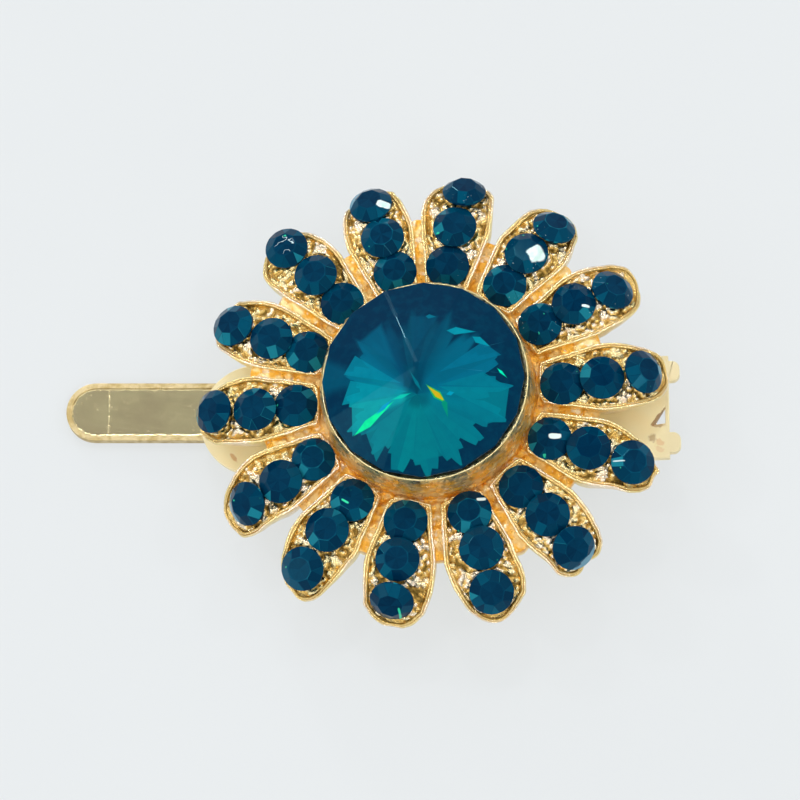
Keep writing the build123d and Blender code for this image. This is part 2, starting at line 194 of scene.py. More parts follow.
# %% The paint that it belongs to
class Paint:
    """A node tree under construction."""

    def __init__(self, tree):
        self.tree = tree

    def feed(self, socket, value):
        if isinstance(value, Tone):
            self.tree.links.new(value.socket, socket)
        elif value is not None:
            socket.default_value = value

    def node(self, kind, settings=None, *values, output=0, **named):
        """Add a node: its settings first, then its inputs by order or by name. Gives one output."""
        made = self.tree.nodes.new(kind)
        for setting, value in (settings or {}).items():
            setattr(made, setting, value)
        for socket, value in zip(made.inputs, values):
            self.feed(socket, value)
        for name, value in named.items():
            self.feed(made.inputs[name.replace("_", " ")], value)
        return Tone(self, made.outputs[output])

    def mix(self, share, first, second):
        """First colour where share is 0, second where it is 1."""
        made = self.node("ShaderNodeMix", {"data_type": "RGBA"}, output=2)
        self.feed(made.socket.node.inputs[0], share)
        self.feed(made.socket.node.inputs[6], rgba(first))
        self.feed(made.socket.node.inputs[7], rgba(second))
        return made

    def noise(self, where, scale, detail=2.0, roughness=0.5):
        """Cloudy pattern from 0 to 1, with scale in bumps per unit of the place it is given."""
        return self.node(
            "ShaderNodeTexNoise", None, Vector=where, Scale=scale, Detail=detail, Roughness=roughness
        )

    def place(self, flower=False):
        """Object coordinates in millimetres, in the part's frame or in the flower's."""
        raw = self.node("ShaderNodeTexCoord").other("Object")
        spot = FLOWER.translation if flower else Vector()
        lean = (0, -PLATE_TILT if flower else 0, 0)
        return self.node(
            "ShaderNodeMapping",
            {"vector_type": "TEXTURE"},
            Vector=raw,
            Location=spot,
            Rotation=lean,
            Scale=(MM, MM, MM),
        )

    def parts(self, vector):
        """X, Y and Z of a vector as Tones."""
        x = self.node("ShaderNodeSeparateXYZ", None, vector)
        return x, x.other("Y"), x.other("Z")

    def own(self, name):
        """The piece's own attribute of that name."""
        return self.node("ShaderNodeAttribute", {"attribute_name": name}).other("Fac")


# %% Colours and finishes
def rgba(colour):
    """A colour given as three linear numbers gets its alpha; a Tone stays as it is."""
    return colour if isinstance(colour, Tone) else (*colour, 1.0)


def photo_colour(red, green, blue):
    """Linear colour of a tone read in the photograph, from 0 to 255."""
    shares = (channel / 255 for channel in (red, green, blue))
    return tuple(s / 12.92 if s <= 0.04045 else ((s + 0.055) / 1.055) ** 2.4 for s in shares)


def finish(name, colour, roughness, metallic=0.0, bump=None, bump_height=0.01, **fixed):
    """A material on the main shader. colour(paint), roughness(paint) and bump(paint) may vary."""
    material = bpy.data.materials.new(name)
    material.use_nodes = True
    paint = Paint(material.node_tree)
    shader = material.node_tree.nodes["Principled BSDF"]
    fed = {"Base Color": colour, "Roughness": roughness, "Metallic": metallic}
    for socket, value in fed.items():
        value = value(paint) if callable(value) else value
        paint.feed(shader.inputs[socket], rgba(value) if socket == "Base Color" else value)
    for socket, value in fixed.items():
        shader.inputs[socket.replace("_", " ")].default_value = value
    if bump:
        relief = paint.node("ShaderNodeBump", None, Distance=bump_height * MM, Height=bump(paint))
        paint.feed(shader.inputs["Normal"], relief)
    print("finish:", name, len(material.node_tree.nodes), "nodes")
    return material


print("a photograph's middle grey in linear light:", round(photo_colour(128, 128, 128)[0], 3))

# %% [markdown]
# ## Painted shapes
# Glints, brown marks, painted shade and the rays inside the centre stone are small flat shapes. An
# image could hold them, but a shape that is worked out from its ends or corners stays sharp at any
# size and bakes well. Each helper takes the places across and along a surface and gives 1 inside its
# shape.

# %% Leaves, smudges and triangles
def spindle(across, along, start, end, wide, belly=0.5):
    """1 inside a thin leaf shape from start to end, fading at its outline."""
    start, end = Vector(start), Vector(end)
    way = (end - start).normalized()
    length = (end - start).length
    ahead = ((across - start.x) * way.x + (along - start.y) * way.y) / length
    aside = abs((along - start.y) * way.x - (across - start.x) * way.y)
    room = (ahead / belly).least((1 - ahead) / (1 - belly)) * wide
    return (room - aside).ease(0.0, 0.1)


def smudge(paint, across, along, start, end, wide):
    """1 inside a ragged oval from start to end."""
    start, end = Vector(start), Vector(end)
    way = (end - start).normalized()
    half = (end - start).length / 2
    ahead = ((across - start.x) * way.x + (along - start.y) * way.y) / half - 1
    aside = ((along - start.y) * way.x - (across - start.x) * way.y) / wide
    off_middle = (ahead * ahead + aside * aside) ** 0.5
    return (off_middle + 1.8 * (paint.noise(paint.place(), 2.4, 3) - 0.5)).ease(1.1, 0.6)


def wedge(across, along, corners, blur=0.08):
    """1 inside a triangle, fading at its sides."""
    corners = [Vector(corner) for corner in corners]
    one_way = (corners[1] - corners[0]).cross(corners[2] - corners[0]) > 0
    room = 1.0
    for start, end in zip(corners, corners[1:] + corners[:1]):
        way = (end - start).normalized() * (1 if one_way else -1)
        left = (along - start.y) * way.x - (across - start.x) * way.y
        room = left.least(room)
    return room.ease(0.0, blur)


# %% [markdown]
# ## Floor and light
# The barrette lies on a bright, almost shadowless table. Polished gold only looks like gold when it
# has something dark to reflect, so the sky is bright overhead and falls off towards the horizon,
# and a soft dark spot stands where a photographer would lean over. A large soft window lights the
# side, and a few small ones give the white glints on the stones. What the camera sees of the sky
# itself, past the table's edge, is an even pale grey.

# %% Sky
ZENITH_LIGHT = 1.15
HORIZON_LIGHT = 0.5
PALE_SKY = 0.82
WINDOWS = [
    # direction, size in degrees, brightness
    (Vector((-0.386, 0.872, 0.300)), 2.2, 60.0),
    (Vector((-0.100, 0.455, 0.884)), 2.2, 40.0),
    (Vector((-0.75, -0.25, 0.60)), 9.0, 2.5),
    (Vector((0.70, 0.20, 0.68)), 2.5, 22.0),
    (Vector((0.28, -0.62, 0.73)), 2.5, 22.0),
    (Vector((-0.62, 0.42, 0.66)), 2.5, 22.0),
]
DARK_SPOT = Vector((-0.018, 0.297, 0.955))
DARK_SPOT_SIZE = 8.0
DARK_SPOT_DEPTH = 0.66
SKY_TINT = (0.975, 0.99, 1.0, 1.0)

world = bpy.data.worlds.new("studio")
world.use_nodes = True
bpy.context.scene.world = world
sky = Paint(world.node_tree)
direction = sky.node("ShaderNodeTexCoord").other("Generated")
height = sky.parts(direction)[2]
light = HORIZON_LIGHT + (ZENITH_LIGHT - HORIZON_LIGHT) * height.most(0.0)


def cap(towards, degrees_wide, softness=1.5):
    """1 inside a round patch of the sky, 0 outside."""
    dot_product = {"operation": "DOT_PRODUCT"}
    aligned = sky.node("ShaderNodeVectorMath", dot_product, direction, towards.normalized()).other("Value")
    return aligned.ease(cos(radians(degrees_wide * softness)), cos(radians(degrees_wide)))


for towards, degrees_wide, brightness in WINDOWS:
    light = light + brightness * cap(towards, degrees_wide)
light = light * (1 - DARK_SPOT_DEPTH * cap(DARK_SPOT, DARK_SPOT_SIZE, 1.6))
seen = sky.node("ShaderNodeLightPath", output="Is Camera Ray")
light = light * (1 - seen) + PALE_SKY * seen
background = world.node_tree.nodes["Background"]
background.inputs["Color"].default_value = SKY_TINT
sky.feed(background.inputs["Strength"], light)
bpy.context.scene.view_settings.view_transform = "Standard"
print("sky:", len(world.node_tree.nodes), "nodes")

# %% [markdown]
# The photograph's table throws hardly any shadow, as a lit acrylic sheet does. So the floor gives
# two thirds of its light itself, and only the rest comes from the sky.

# %% Floor
TABLE_GLOW = 0.62
TABLE_TINT = (0.96, 0.99, 1.0, 1.0)
TABLE_GREY = (0.187, 0.195, 0.20)
TABLE_PALE = (0.20, 0.208, 0.212)
FLOOR_SIZE = 1.6
FLOOR_DROP = 0.02 * MM
bpy.ops.mesh.primitive_plane_add(size=FLOOR_SIZE, location=(0, 0, -FLOOR_DROP))
table = bpy.context.object
table.name = "table"
table.data.materials.append(
    finish(
        "table white",
        lambda p: p.mix(p.noise(p.place(), 0.05), TABLE_GREY, TABLE_PALE),
        0.9,
        Specular_IOR_Level=0.0,
        Emission_Color=TABLE_TINT,
        Emission_Strength=TABLE_GLOW,
    )
)

# %% [markdown]
# ## Gold
# Three golds show. The casting is painted bright yellow gold on its ridges and, as painted shade
# and painted reflection, goes to a copper orange deep down, where gold only reflects gold. The clip
# is sheet steel with a pale, cooler plating. The depth below the rims is stored on the castings as
# they are made, so the paint can lay its painted shade by it.

# %% Tones of the metals
GOLD_PALE = (0.98, 0.83, 0.63)
GOLD_YELLOW = (0.95, 0.79, 0.40)
# The next three tones are painted reflection and painted shade, laid on the casting by its depth.
GOLD_WARM = (0.85, 0.60, 0.22)
GOLD_DEEP_SHADE = (0.72, 0.43, 0.09)
CLEFT_SHADE = (0.20, 0.115, 0.01)
# Painted reflection: the copper orange of the cup's hollows, where gold reflects gold.
COPPER_REFLECTION = (0.92, 0.46, 0.05)
CUP_PALE = (0.86, 0.58, 0.23)
PALE_GOLD = (1.0, 0.88, 0.54)
PALE_SHADE = (1.0, 0.84, 0.48)
# Painted light: the plate's end is darker, against its lighter part near the flower.
PLATE_END_SHADE = (0.85, 0.73, 0.44)
RIM_GOLD = (0.66, 0.53, 0.29)
RIM_BROWN = (0.50, 0.37, 0.16)
JAW_GOLD = (0.82, 0.72, 0.41)
JAW_SHADE = (0.75, 0.64, 0.37)
STEEL = (0.55, 0.50, 0.42)
print("pale gold:", GOLD_PALE, "and copper:", COPPER_REFLECTION)

# %% Cast gold
def casting_colour(paint):
    """Pale and yellow patches, warmed and darkened with depth as painted reflection and painted shade, with
    cloudy borders between the tones.
    """
    cloud = paint.noise(paint.place(), 1.6, 3)
    depth = paint.own("depth") + 0.5 * (cloud - 0.5)
    patchy = paint.mix(paint.noise(paint.place(), 0.3, 3).ease(0.4, 0.6), GOLD_PALE, GOLD_YELLOW)
    # Painted reflection and painted shade: warmer, then deeper, then dark in the clefts.
    warm = paint.mix(depth.ease(0.1, 0.6), patchy, GOLD_WARM)
    deep = paint.mix(depth.ease(0.5, 0.95), warm, GOLD_DEEP_SHADE)
    return paint.mix(depth.ease(0.85, 1.25), deep, CLEFT_SHADE)


casting_gold = finish(
    "cast gold",
    casting_colour,
    lambda p: 0.12 + 0.16 * p.noise(p.place(), 2.2, 3) + 0.2 * p.own("depth").ease(0.6, 1.1),
    metallic=lambda p: 1 - 0.5 * p.own("depth").ease(0.6, 1.1),
    bump=lambda p: p.noise(p.place(), 4.0, 2) + 0.5 * p.noise(p.place(), 11.0, 2),
    bump_height=0.1,
)

# %% [markdown]
# The clip is stamped sheet. Its plating has fine straight scratches, which are noise stretched along
# one direction. The jaw's raised rim is rubbed to a rougher gold. The plate has a few brown marks,
# and painted shade in and about the triangular cut at its end. Each is painted where the photograph
# has it. The plate also gets painted light: lighter near the flower, against the petals' shade, and
# darker towards its end.

# %% Sheet gold
def scratches(paint, turn_degrees, stretch=60.0):
    """Fine straight scratches: noise stretched along one direction."""
    turned = (0, 0, radians(turn_degrees))
    laid = paint.node("ShaderNodeMapping", None, Vector=paint.place(), Rotation=turned)
    drawn = paint.node("ShaderNodeMapping", None, Vector=laid, Scale=(1 / stretch, 1, 1))
    return paint.noise(drawn, 9.0, 4, 0.6)


def sheet_gold(name, light_tone, dark_tone, roughness, edge=None, metallic=1.0, marks_and_light=None):
    """Plated sheet. Where edge(paint) is 1 the plating is worn rough."""
    rim = edge or (lambda p: 0.0)
    # The plate's paint here also lays painted light and painted shade.
    marked_and_lit = marks_and_light or (lambda p, colour: colour)

    def colour(p):
        patchy = p.mix(p.noise(p.place(), 0.35, 2).ease(0.35, 0.7), light_tone, dark_tone)
        worn = p.mix(p.noise(p.place(), 1.4, 3).ease(0.4, 0.65), RIM_GOLD, RIM_BROWN)
        return marked_and_lit(p, p.mix(rim(p), patchy, worn))

    def relief(p):
        drawn = 0.08 * scratches(p, 8) + 0.06 * scratches(p, 75, 25.0)
        return drawn + p.noise(p.place(), 3.0) * rim(p)

    return finish(
        name,
        colour,
        lambda p: roughness + 0.12 * scratches(p, 8) + 0.3 * rim(p),
        metallic=metallic,
        bump=relief,
        bump_height=0.05,
    )


# %% Wear on the jaw
JAW_RIM = 0.55
SCRATCH_BACK = 3.9
STRIP_LENGTH = 10.0
jaw_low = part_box("lower_jaw")[0]
jaw_corners = [corner.co for corner in frame["nodes"]["lower_jaw"].data.vertices]
strip = [corner.y for corner in jaw_corners if corner.x < jaw_low.x + STRIP_LENGTH * MM]
JAW_MIDDLE = (min(strip) + max(strip)) / 2 / MM
JAW_HALF = (max(strip) - min(strip)) / 2 / MM
JAW_TIP = jaw_low.x / MM
print("jaw: half width", round(JAW_HALF, 2), "middle", round(JAW_MIDDLE, 2))


def jaw_rim(paint):
    """1 on the jaw's raised rim, with a ragged inner border."""
    x, y, z = paint.parts(paint.place())
    ahead = (JAW_TIP + JAW_HALF - x).most(0.0)
    aside = y - JAW_MIDDLE
    off_middle = (ahead * ahead + aside * aside) ** 0.5
    ragged = off_middle + 0.35 * (paint.noise(paint.place(), 2.0, 3) - 0.5)
    return ragged.ease(JAW_HALF - JAW_RIM - 0.1, JAW_HALF - JAW_RIM + 0.1)


def jaw_wear(paint):
    """The rim, one fine scratch across the strip near its tip, and a few bright specks."""
    x = paint.parts(paint.place())[0]
    across = x + 0.3 * (paint.noise(paint.place(), 0.7, 3) - 0.5)
    scratch = 1 - abs(across - JAW_TIP - SCRATCH_BACK).ease(0.02, 0.07)
    specks = paint.noise(paint.place(), 2.6, 1).ease(0.74, 0.78)
    faint = scratch * paint.noise(paint.place(), 1.1, 3).ease(0.35, 0.6)
    return jaw_rim(paint).most(faint * 0.35).most(specks)


# %% Marks, painted shade and painted light on the plate, and the three sheet metals
# The first two are brown marks at the front; the rest are painted shade in and about the triangular cut.
PLATE_MARKS_AND_SHADE = [
    # start, end, widest, share, colour
    ((-18.77, -3.51), (-18.05, -4.45), 0.22, 0.6, (205, 140, 70)),
    ((-21.7, 1.6), (-20.5, 4.1), 0.14, 0.6, (200, 150, 85)),
    ((19.3, -3.1), (20.1, -3.45), 0.4, 0.55, (150, 105, 50)),
    ((19.45, -2.35), (20.85, -0.5), 0.2, 0.8, (150, 100, 45)),
    ((19.7, -2.1), (20.9, -2.1), 0.2, 0.6, (165, 115, 60)),
    ((19.9, -3.5), (20.8, -3.95), 0.36, 0.4, (215, 145, 75)),
    ((20.0, -4.0), (20.7, -4.7), 0.3, 0.3, (215, 150, 85)),
]


def plate_light_and_marks(paint, colour):
    """Painted light, lighter near the flower and darker at the end; brown blotches; painted shade at the cut.
    """
    x, y, z = paint.parts(paint.place(flower=True))
    # Painted light: lighter near the flower, against the petals' shade, darker towards the end.
    colour = paint.mix(((x * x + y * y) ** 0.5).ease(19.5, 22.0), colour, PLATE_END_SHADE)
    # Brown marks, and painted shade at the triangular cut.
    for start, end, wide, share, tone in PLATE_MARKS_AND_SHADE:
        mark = smudge(paint, x, y, start, end, wide)
        colour = paint.mix(share * mark, colour, photo_colour(*tone))
    return colour


plate_gold = sheet_gold("plate gold", PALE_GOLD, PALE_SHADE, 0.4, metallic=0.12, marks_and_light=plate_light_and_marks)
jaw_gold = sheet_gold("jaw gold", JAW_GOLD, JAW_SHADE, 0.06, jaw_wear)
spring_steel = sheet_gold("spring steel", STEEL, STEEL, 0.25)

# %% [markdown]
# ## The clip's metal
# The plate, the jaw and the pin are already the right shape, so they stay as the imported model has
# them. Real stamped sheet has no razor edges, though. Welding the loose triangles, clearing the
# flat ones away and rounding what is left gives every edge the thin bright line that it has in
# the photograph.

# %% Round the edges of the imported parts
def soften(node, width, segments=2, flat_angle=radians(1), edge_angle=radians(25)):
    """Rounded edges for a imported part, as modifiers. Width is in millimetres."""
    part = frame["nodes"][node]
    weld = part.modifiers.new("weld", "WELD")
    weld.merge_threshold = 0.0005 * MM
    flat = part.modifiers.new("flat faces", "DECIMATE")
    flat.decimate_type = "DISSOLVE"
    flat.angle_limit = flat_angle
    edge = part.modifiers.new("soft edges", "BEVEL")
    edge.limit_method = "ANGLE"
    edge.angle_limit = edge_angle
    edge.width = width * MM
    edge.segments = segments
    edge.harden_normals = False
    return part


def dress(node, material):
    """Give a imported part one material."""
    part = frame["nodes"][node]
    part.data.materials.clear()
    part.data.materials.append(material)


for node, material, width in (
    ("lower_jaw", jaw_gold, 0.1),
    ("upper_plate", plate_gold, 0.1),
    ("hinge_pin", spring_steel, 0.05),
    ("spring", spring_steel, 0.05),
):
    soften(node, width)
    dress(node, material)
print("clip parts dressed")

# %% [markdown]
# ## One petal
# A petal is a shallow tray with a rim of fine ridges, cast in one piece with thirteen others. It
# could be swept along its outline, but insetting a flat face again and again is quicker: every
# inset is one step across the rim, up a ridge or down into a groove. Only then is the tip bent
# down, round the same curve as in the solid, so that the ridges keep their width.

# %% The petal's outline, in millimetres from the flower's axis
ROOT = 9.8
SHOULDER = 15.4
TIP = 21.3
END_RADIUS = 2.75
END_SHARE = 0.45
SIDE_BULGE = 0.25
WEB_GAP = 0.7
DROOP_START = 16.6
DROOP_RADIUS = 5.0
SHELL_DEPTH = 1.8


def spread(first, last, count):
    """count numbers from first to last, both included."""
    return [first + (last - first) * step / (count - 1) for step in range(count)]


def arc_through(first, middle, last, count):
    """Points on the arc through three points of the plane."""
    (ax, ay), (bx, by), (cx, cy) = first, middle, last
    area = 2 * (ax * (by - cy) + bx * (cy - ay) + cx * (ay - by))
    a, b, c = ax * ax + ay * ay, bx * bx + by * by, cx * cx + cy * cy
    x = (a * (by - cy) + b * (cy - ay) + c * (ay - by)) / area
    y = (a * (cx - bx) + b * (ax - cx) + c * (bx - ax)) / area
    radius = hypot(ax - x, ay - y)
    angles = spread(atan2(ay - y, ax - x), atan2(cy - y, cx - x), count)
    return [(x + radius * cos(angle), y + radius * sin(angle)) for angle in angles]


def half_outline(inset=0.0):
    """The petal's left half from its root to its tip, drawn as seen from above."""
    slope = tan(pi / PETAL_COUNT)
    root = (ROOT, ROOT * slope - WEB_GAP / 2 - inset)
    shoulder = (SHOULDER, SHOULDER * slope - WEB_GAP / 2 - inset)
    centre = TIP - END_RADIUS
    radius = END_RADIUS - inset
    join = (centre + radius * END_SHARE, radius * sqrt(1 - END_SHARE**2))
    bulge = ((shoulder[0] + join[0]) / 2, (shoulder[1] + join[1]) / 2 + SIDE_BULGE)
    reaches = zip(spread(root[0], shoulder[0], 15), spread(0, 1, 15))
    side = [(x, root[1] + (shoulder[1] - root[1]) * share) for x, share in reaches]
    flank = arc_through(shoulder, bulge, join, 11)
    turns = spread(acos(END_SHARE), 0, 12)
    end = [(centre + radius * cos(angle), radius * sin(angle)) for angle in turns]
    return side + flank[1:] + end[1:]


# %% Bend its tip
def unrolled(x, y):
    """Where a point of the drooping petal lies when the petal is flat."""
    radius = hypot(x, y)
    if radius <= DROOP_START:
        return x, y
    flat = DROOP_START + DROOP_RADIUS * asin(min(1.0, (radius - DROOP_START) / DROOP_RADIUS))
    return x * flat / radius, y * flat / radius


def drooped(spot):
    """Bend a point of the flat petal down with the tip. Its height is kept from the curve."""
    radius = hypot(spot.x, spot.y)
    if radius <= DROOP_START:
        return spot
    angle = (radius - DROOP_START) / DROOP_RADIUS
    height = DROOP_RADIUS + spot.z - RIM_LEVEL
    bent = DROOP_START + height * sin(angle)
    return Vector(
        (spot.x * bent / radius, spot.y * bent / radius, RIM_LEVEL - DROOP_RADIUS + height * cos(angle))
    )


flat_half = [unrolled(x, y) for x, y in half_outline()]
flat_outline = flat_half + [(x, -y) for x, y in reversed(flat_half[:-1])]
print("outline:", len(flat_outline), "points")

# %% [markdown]
# ## Working by hand, from a script
# Blender's operators act on what is selected, in the mode that it is in. These few helpers say both
# out loud: pick a piece, go into edit mode, choose faces by their place, leave, and make what the
# modifiers show part of the mesh.

# %% Helpers for modelling by hand
def start_piece(name):
    """Name what was just added."""
    piece = bpy.context.object
    piece.name = name
    piece.data.name = name
    return piece


def draw_line(name, spots):
    """A new piece that is only a line through these spots, to be turned or pulled into a surface."""
    line = bpy.data.meshes.new(name)
    line.from_pydata(spots, [(at, at + 1) for at in range(len(spots) - 1)], [])
    piece = bpy.data.objects.new(name, line)
    bpy.context.collection.objects.link(piece)
    return piece


def own_copy(model):
    """A copy of a piece with its own mesh."""
    copy = model.copy()
    copy.data = model.data.copy()
    bpy.context.collection.objects.link(copy)
    return copy


def pick(pieces):
    """Only these pieces are selected, and the first is active."""
    bpy.ops.object.select_all(action="DESELECT")
    for piece in pieces:
        piece.select_set(True)
    bpy.context.view_layer.objects.active = pieces[0]


def edit(piece):
    """Only this piece is selected, and edit mode begins."""
    pick([piece])
    bpy.ops.object.mode_set(mode="EDIT")


def choose_faces(piece, wanted):
    """In edit mode, select the faces for which wanted(face) is true."""
    bpy.ops.mesh.select_mode(type="FACE")
    bpy.ops.mesh.select_all(action="DESELECT")
    bpy.ops.object.mode_set(mode="OBJECT")
    for face in piece.data.polygons:
        face.select = wanted(face)
    bpy.ops.object.mode_set(mode="EDIT")


def leave():
    """Back to object mode."""
    bpy.ops.object.mode_set(mode="OBJECT")


def keep_modifiers(piece):
    """Apply every modifier of a piece, in order."""
    pick([piece])
    for modifier in list(piece.modifiers):
        bpy.ops.object.modifier_apply(modifier=modifier.name)


def store(piece, name, values):
    """Keep one number for every vertex, for the paint to read."""
    piece.data.attributes.new(name, "FLOAT", "POINT")
    piece.data.attributes[name].data.foreach_set("value", values)


def join_all(pieces, name):
    """Join copies into one piece."""
    pick(pieces)
    bpy.ops.object.join()
    pieces[0].name = name
    pieces[0].data.name = name
    return pieces[0]


def triangles(piece):
    """How many triangles a piece has once its faces are split."""
    return sum(len(face.vertices) - 2 for face in piece.data.polygons)


# %% Model the petal's tray
RIM_STEPS = [
    # inwards, upwards
    (0.06, 0.08),
    (0.11, 0.03),
    (0.07, -0.03),
    (0.04, -0.09),
    (0.04, 0.08),
    (0.06, 0.02),
    (0.05, -0.07),
    (0.035, 0.05),
    (0.045, -0.06),
    (0.04, -0.2),
    (0.04, -0.4),
]
OUTER_LIP = 0.08
BACK_WALL = 0.7
BACK_SLOPE = 0.2
BACK_HOLLOW = 0.5

bpy.ops.mesh.primitive_circle_add(vertices=len(flat_outline), fill_type="NGON")
petal = start_piece("petal")
for corner, (x, y) in zip(petal.data.vertices, flat_outline):
    corner.co = (x, y, RIM_LEVEL - SHELL_DEPTH)
edit(petal)
bpy.ops.mesh.select_all(action="SELECT")
bpy.ops.mesh.normals_make_consistent(inside=False)
leave()
faces_up = petal.data.polygons[0].normal.z > 0
edit(petal)
bpy.ops.mesh.select_all(action="SELECT")
if not faces_up:
    bpy.ops.mesh.flip_normals()
bpy.ops.mesh.extrude_region_move(TRANSFORM_OT_translate={"value": (0, 0, SHELL_DEPTH - OUTER_LIP)})
for inwards, upwards in RIM_STEPS:
    bpy.ops.mesh.inset(thickness=inwards, depth=upwards)
leave()
print("petal tray:", triangles(petal), "triangles")

# %% Hollow its back and smooth it
edit(petal)
choose_faces(petal, lambda face: face.center.z < RIM_LEVEL - SHELL_DEPTH + 0.01)
bpy.ops.mesh.inset(thickness=BACK_WALL, depth=0)
bpy.ops.mesh.inset(thickness=BACK_SLOPE, depth=-BACK_HOLLOW)
bpy.ops.mesh.select_all(action="SELECT")
bpy.ops.mesh.normals_make_consistent(inside=False)
leave()
smooth = petal.modifiers.new("smooth", "SUBSURF")
smooth.levels = 1
smooth.render_levels = 1
keep_modifiers(petal)
print("smooth petal:", triangles(petal), "triangles")

# %% [markdown]
# Each petal of a cheap casting is a little different: the rims waver, and no two tips end alike.
# A slow noise in the flower's own space moves every point a few hundredths of a millimetre, and a
# few small drips of metal swell each tip. Noise and chance are seeded, so every run gives the same
# flower. The dents and bulges that show in the photograph are listed petal by petal.

# %% Drips at the tips
DRIPS = 3
DRIP_SPREAD = 1.3
DRIP_WIDTH = 0.14
DRIP_DEPTH = 0.9
noise.seed_set(1)
chance = random.Random(7)


def one_drip():
    """A drip's bearing from the middle of the tip's arc, in radians, and how far it swells out."""
    return chance.uniform(-DRIP_SPREAD, DRIP_SPREAD), chance.choice((-1, 1, 1)) * chance.uniform(0.05, 0.2)


drips = [[one_drip() for drip in range(DRIPS)] for number in range(PETAL_COUNT)]


def bell(distance, width):
    """1 at no distance and falling off softly, to about a third at the width."""
    return 2.718 ** -((distance / width) ** 2)


def drip_push(spot, petal_number):
    """How far the small drips of a petal push a point of its rim outwards, and which way."""
    out = Vector((spot.x - TIP + END_RADIUS, spot.y, 0))
    if out.length < END_RADIUS - DRIP_DEPTH or out.x < -1:
        return Vector()
    bearing = atan2(out.y, out.x)
    push = sum(amount * bell(bearing - at, DRIP_WIDTH) for at, amount in drips[petal_number])
    return out.normalized() * push


print("drips of the first petal:", [(round(at, 2), round(amount, 2)) for at, amount in drips[0]])

# %% Wavering rims
WAVER = 0.07
WAVER_SIZE = 1.7
ROUGH_ROOT = 1.6
ROOT_SHAKE = 0.16


def wavered(spot, petal_number):
    """Move a point by slow noise, and a rim's point by its drips. The roots are the roughest."""
    at = spot / WAVER_SIZE + Vector((petal_number * 7.3, petal_number * 3.1, 0))
    shake = noise.noise_vector(at) * WAVER + drip_push(spot, petal_number)
    if spot.z > RIM_LEVEL - 0.2:
        shake += noise.noise_vector(at * 3.1) * WAVER * 0.6
        near_root = max(0.0, 1 - (spot.x - ROOT) / ROUGH_ROOT)
        sunk = Vector((0.1 * near_root, 0, -0.08 * near_root))
        shake += sunk + noise.noise_vector(at * 4.7) * ROOT_SHAKE * near_root
    return spot + shake


# %% Dents and bulges
PUSHES = {
    # petal: places on its outline, each with a push outwards and to the left, and how far it is felt
    1: [(18.0, 2.6, 0.0, 0.5, 2.0), (19.5, -2.2, 0.0, -0.2, 1.5), (21.2, 0.0, -0.1, 0.0, 2.0)],
    2: [(17.5, 2.6, 0.0, -0.3, 2.0), (17.2, -2.6, 0.0, -0.35, 2.5)],
    3: [(20.8, 1.2, 0.5, 0.3, 1.4), (19.0, -2.2, 0.1, -0.3, 2.0)],
    4: [(20.4, 1.5, 0.3, 0.3, 1.2)],
    5: [(18.5, -2.6, 0.0, 0.4, 2.2), (21.2, 0.9, 0.4, 0.15, 0.45)],
    6: [(21.3, 0.0, -0.8, 0.0, 0.9), (20.0, -2.0, 0.3, -0.4, 1.2)],
    7: [(19.0, 2.5, 0.0, 0.6, 1.8)],
    8: [(19.5, -2.2, 0.0, -0.25, 1.5), (21.3, 0.0, -0.3, 0.0, 1.2), (18.5, 2.5, 0.0, 0.35, 2.0)],
    9: [(21.0, 0.8, 0.25, 0.25, 2.0)],
    10: [(20.0, 2.2, 0.2, 0.6, 1.8), (19.5, -2.2, 0.0, 0.3, 1.3)],
    13: [(18.5, 2.5, 0.0, 0.65, 2.2)],
    14: [(20.5, 1.8, -0.4, -0.2, 1.3)],
}


def pushed(spot, petal_number):
    """Move a point of the bent petal with the dents and bulges of its outline."""
    moved = spot.copy()
    for x, y, outwards, leftwards, reach in PUSHES.get(petal_number + 1, []):
        moved += Vector((outwards, leftwards, 0)) * bell(hypot(spot.x - x, spot.y - y), reach)
    return moved


print("dents and bulges:", sum(len(places) for places in PUSHES.values()))

# %% How deep a point lies, for the painted shade
RIM_SKIN = 0.2
GROOVE_SHADE = 12.0


def away_from_outline(spot):
    """Distance from a point of the flat petal to its outline, as seen from above."""
    nearest = 99.0
    for start, end in zip(flat_outline, flat_outline[1:]):
        start, end = Vector(start), Vector(end)
        side = end - start
        share = min(1.0, max(0.0, (spot.xy - start).dot(side) / side.length_squared))
        nearest = min(nearest, (spot.xy - start - side * share).length)
    return min(nearest, abs(spot.x - ROOT))


def depth_on_petal(spot):
    """How deep a point of the flat petal lies, for the painted shade: its outer side is bright, the grooves
    are painted dark.
    """
    if away_from_outline(spot) < RIM_SKIN or spot.z < RIM_LEVEL - 1:
        return 0.1
    if spot.z > RIM_LEVEL - 0.12:
        return GROOVE_SHADE * (RIM_LEVEL + 0.02 - spot.z)
    return RIM_LEVEL - spot.z + 0.3


# The depth lays painted shade and painted reflection on the petals.
store(petal, "depth", [depth_on_petal(corner.co) for corner in petal.data.vertices])

# %% Copy the petal round the flower
def copy_petalwise(model, name, shape, deepness=None):
    """A bent copy of a flat model on every petal, each shaped on its own, all joined."""
    copies = []
    for number in range(PETAL_COUNT):
        copy = own_copy(model)
        spots = [shape(corner.co, number) for corner in copy.data.vertices]
        if deepness:
            store(copy, "depth", [deepness(spot) for spot in spots])
        for corner, spot in zip(copy.data.vertices, spots):
            corner.co = pushed(drooped(spot), number)
        copy.data.transform(petal_frame(number))
        copies.append(copy)
    bpy.data.objects.remove(model)
    return join_all(copies, name)


def settle(piece, material, smooth_angle, ride=True):
    """Give a finished piece its paint and its shading, and mostly the flower to ride on."""
    pick([piece])
    if smooth_angle:
        bpy.ops.object.shade_smooth_by_angle(angle=radians(smooth_angle))
    piece.data.materials.clear()
    piece.data.materials.append(material)
    if ride:
        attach(piece, "flower")
    print(piece.name, triangles(piece), "triangles")


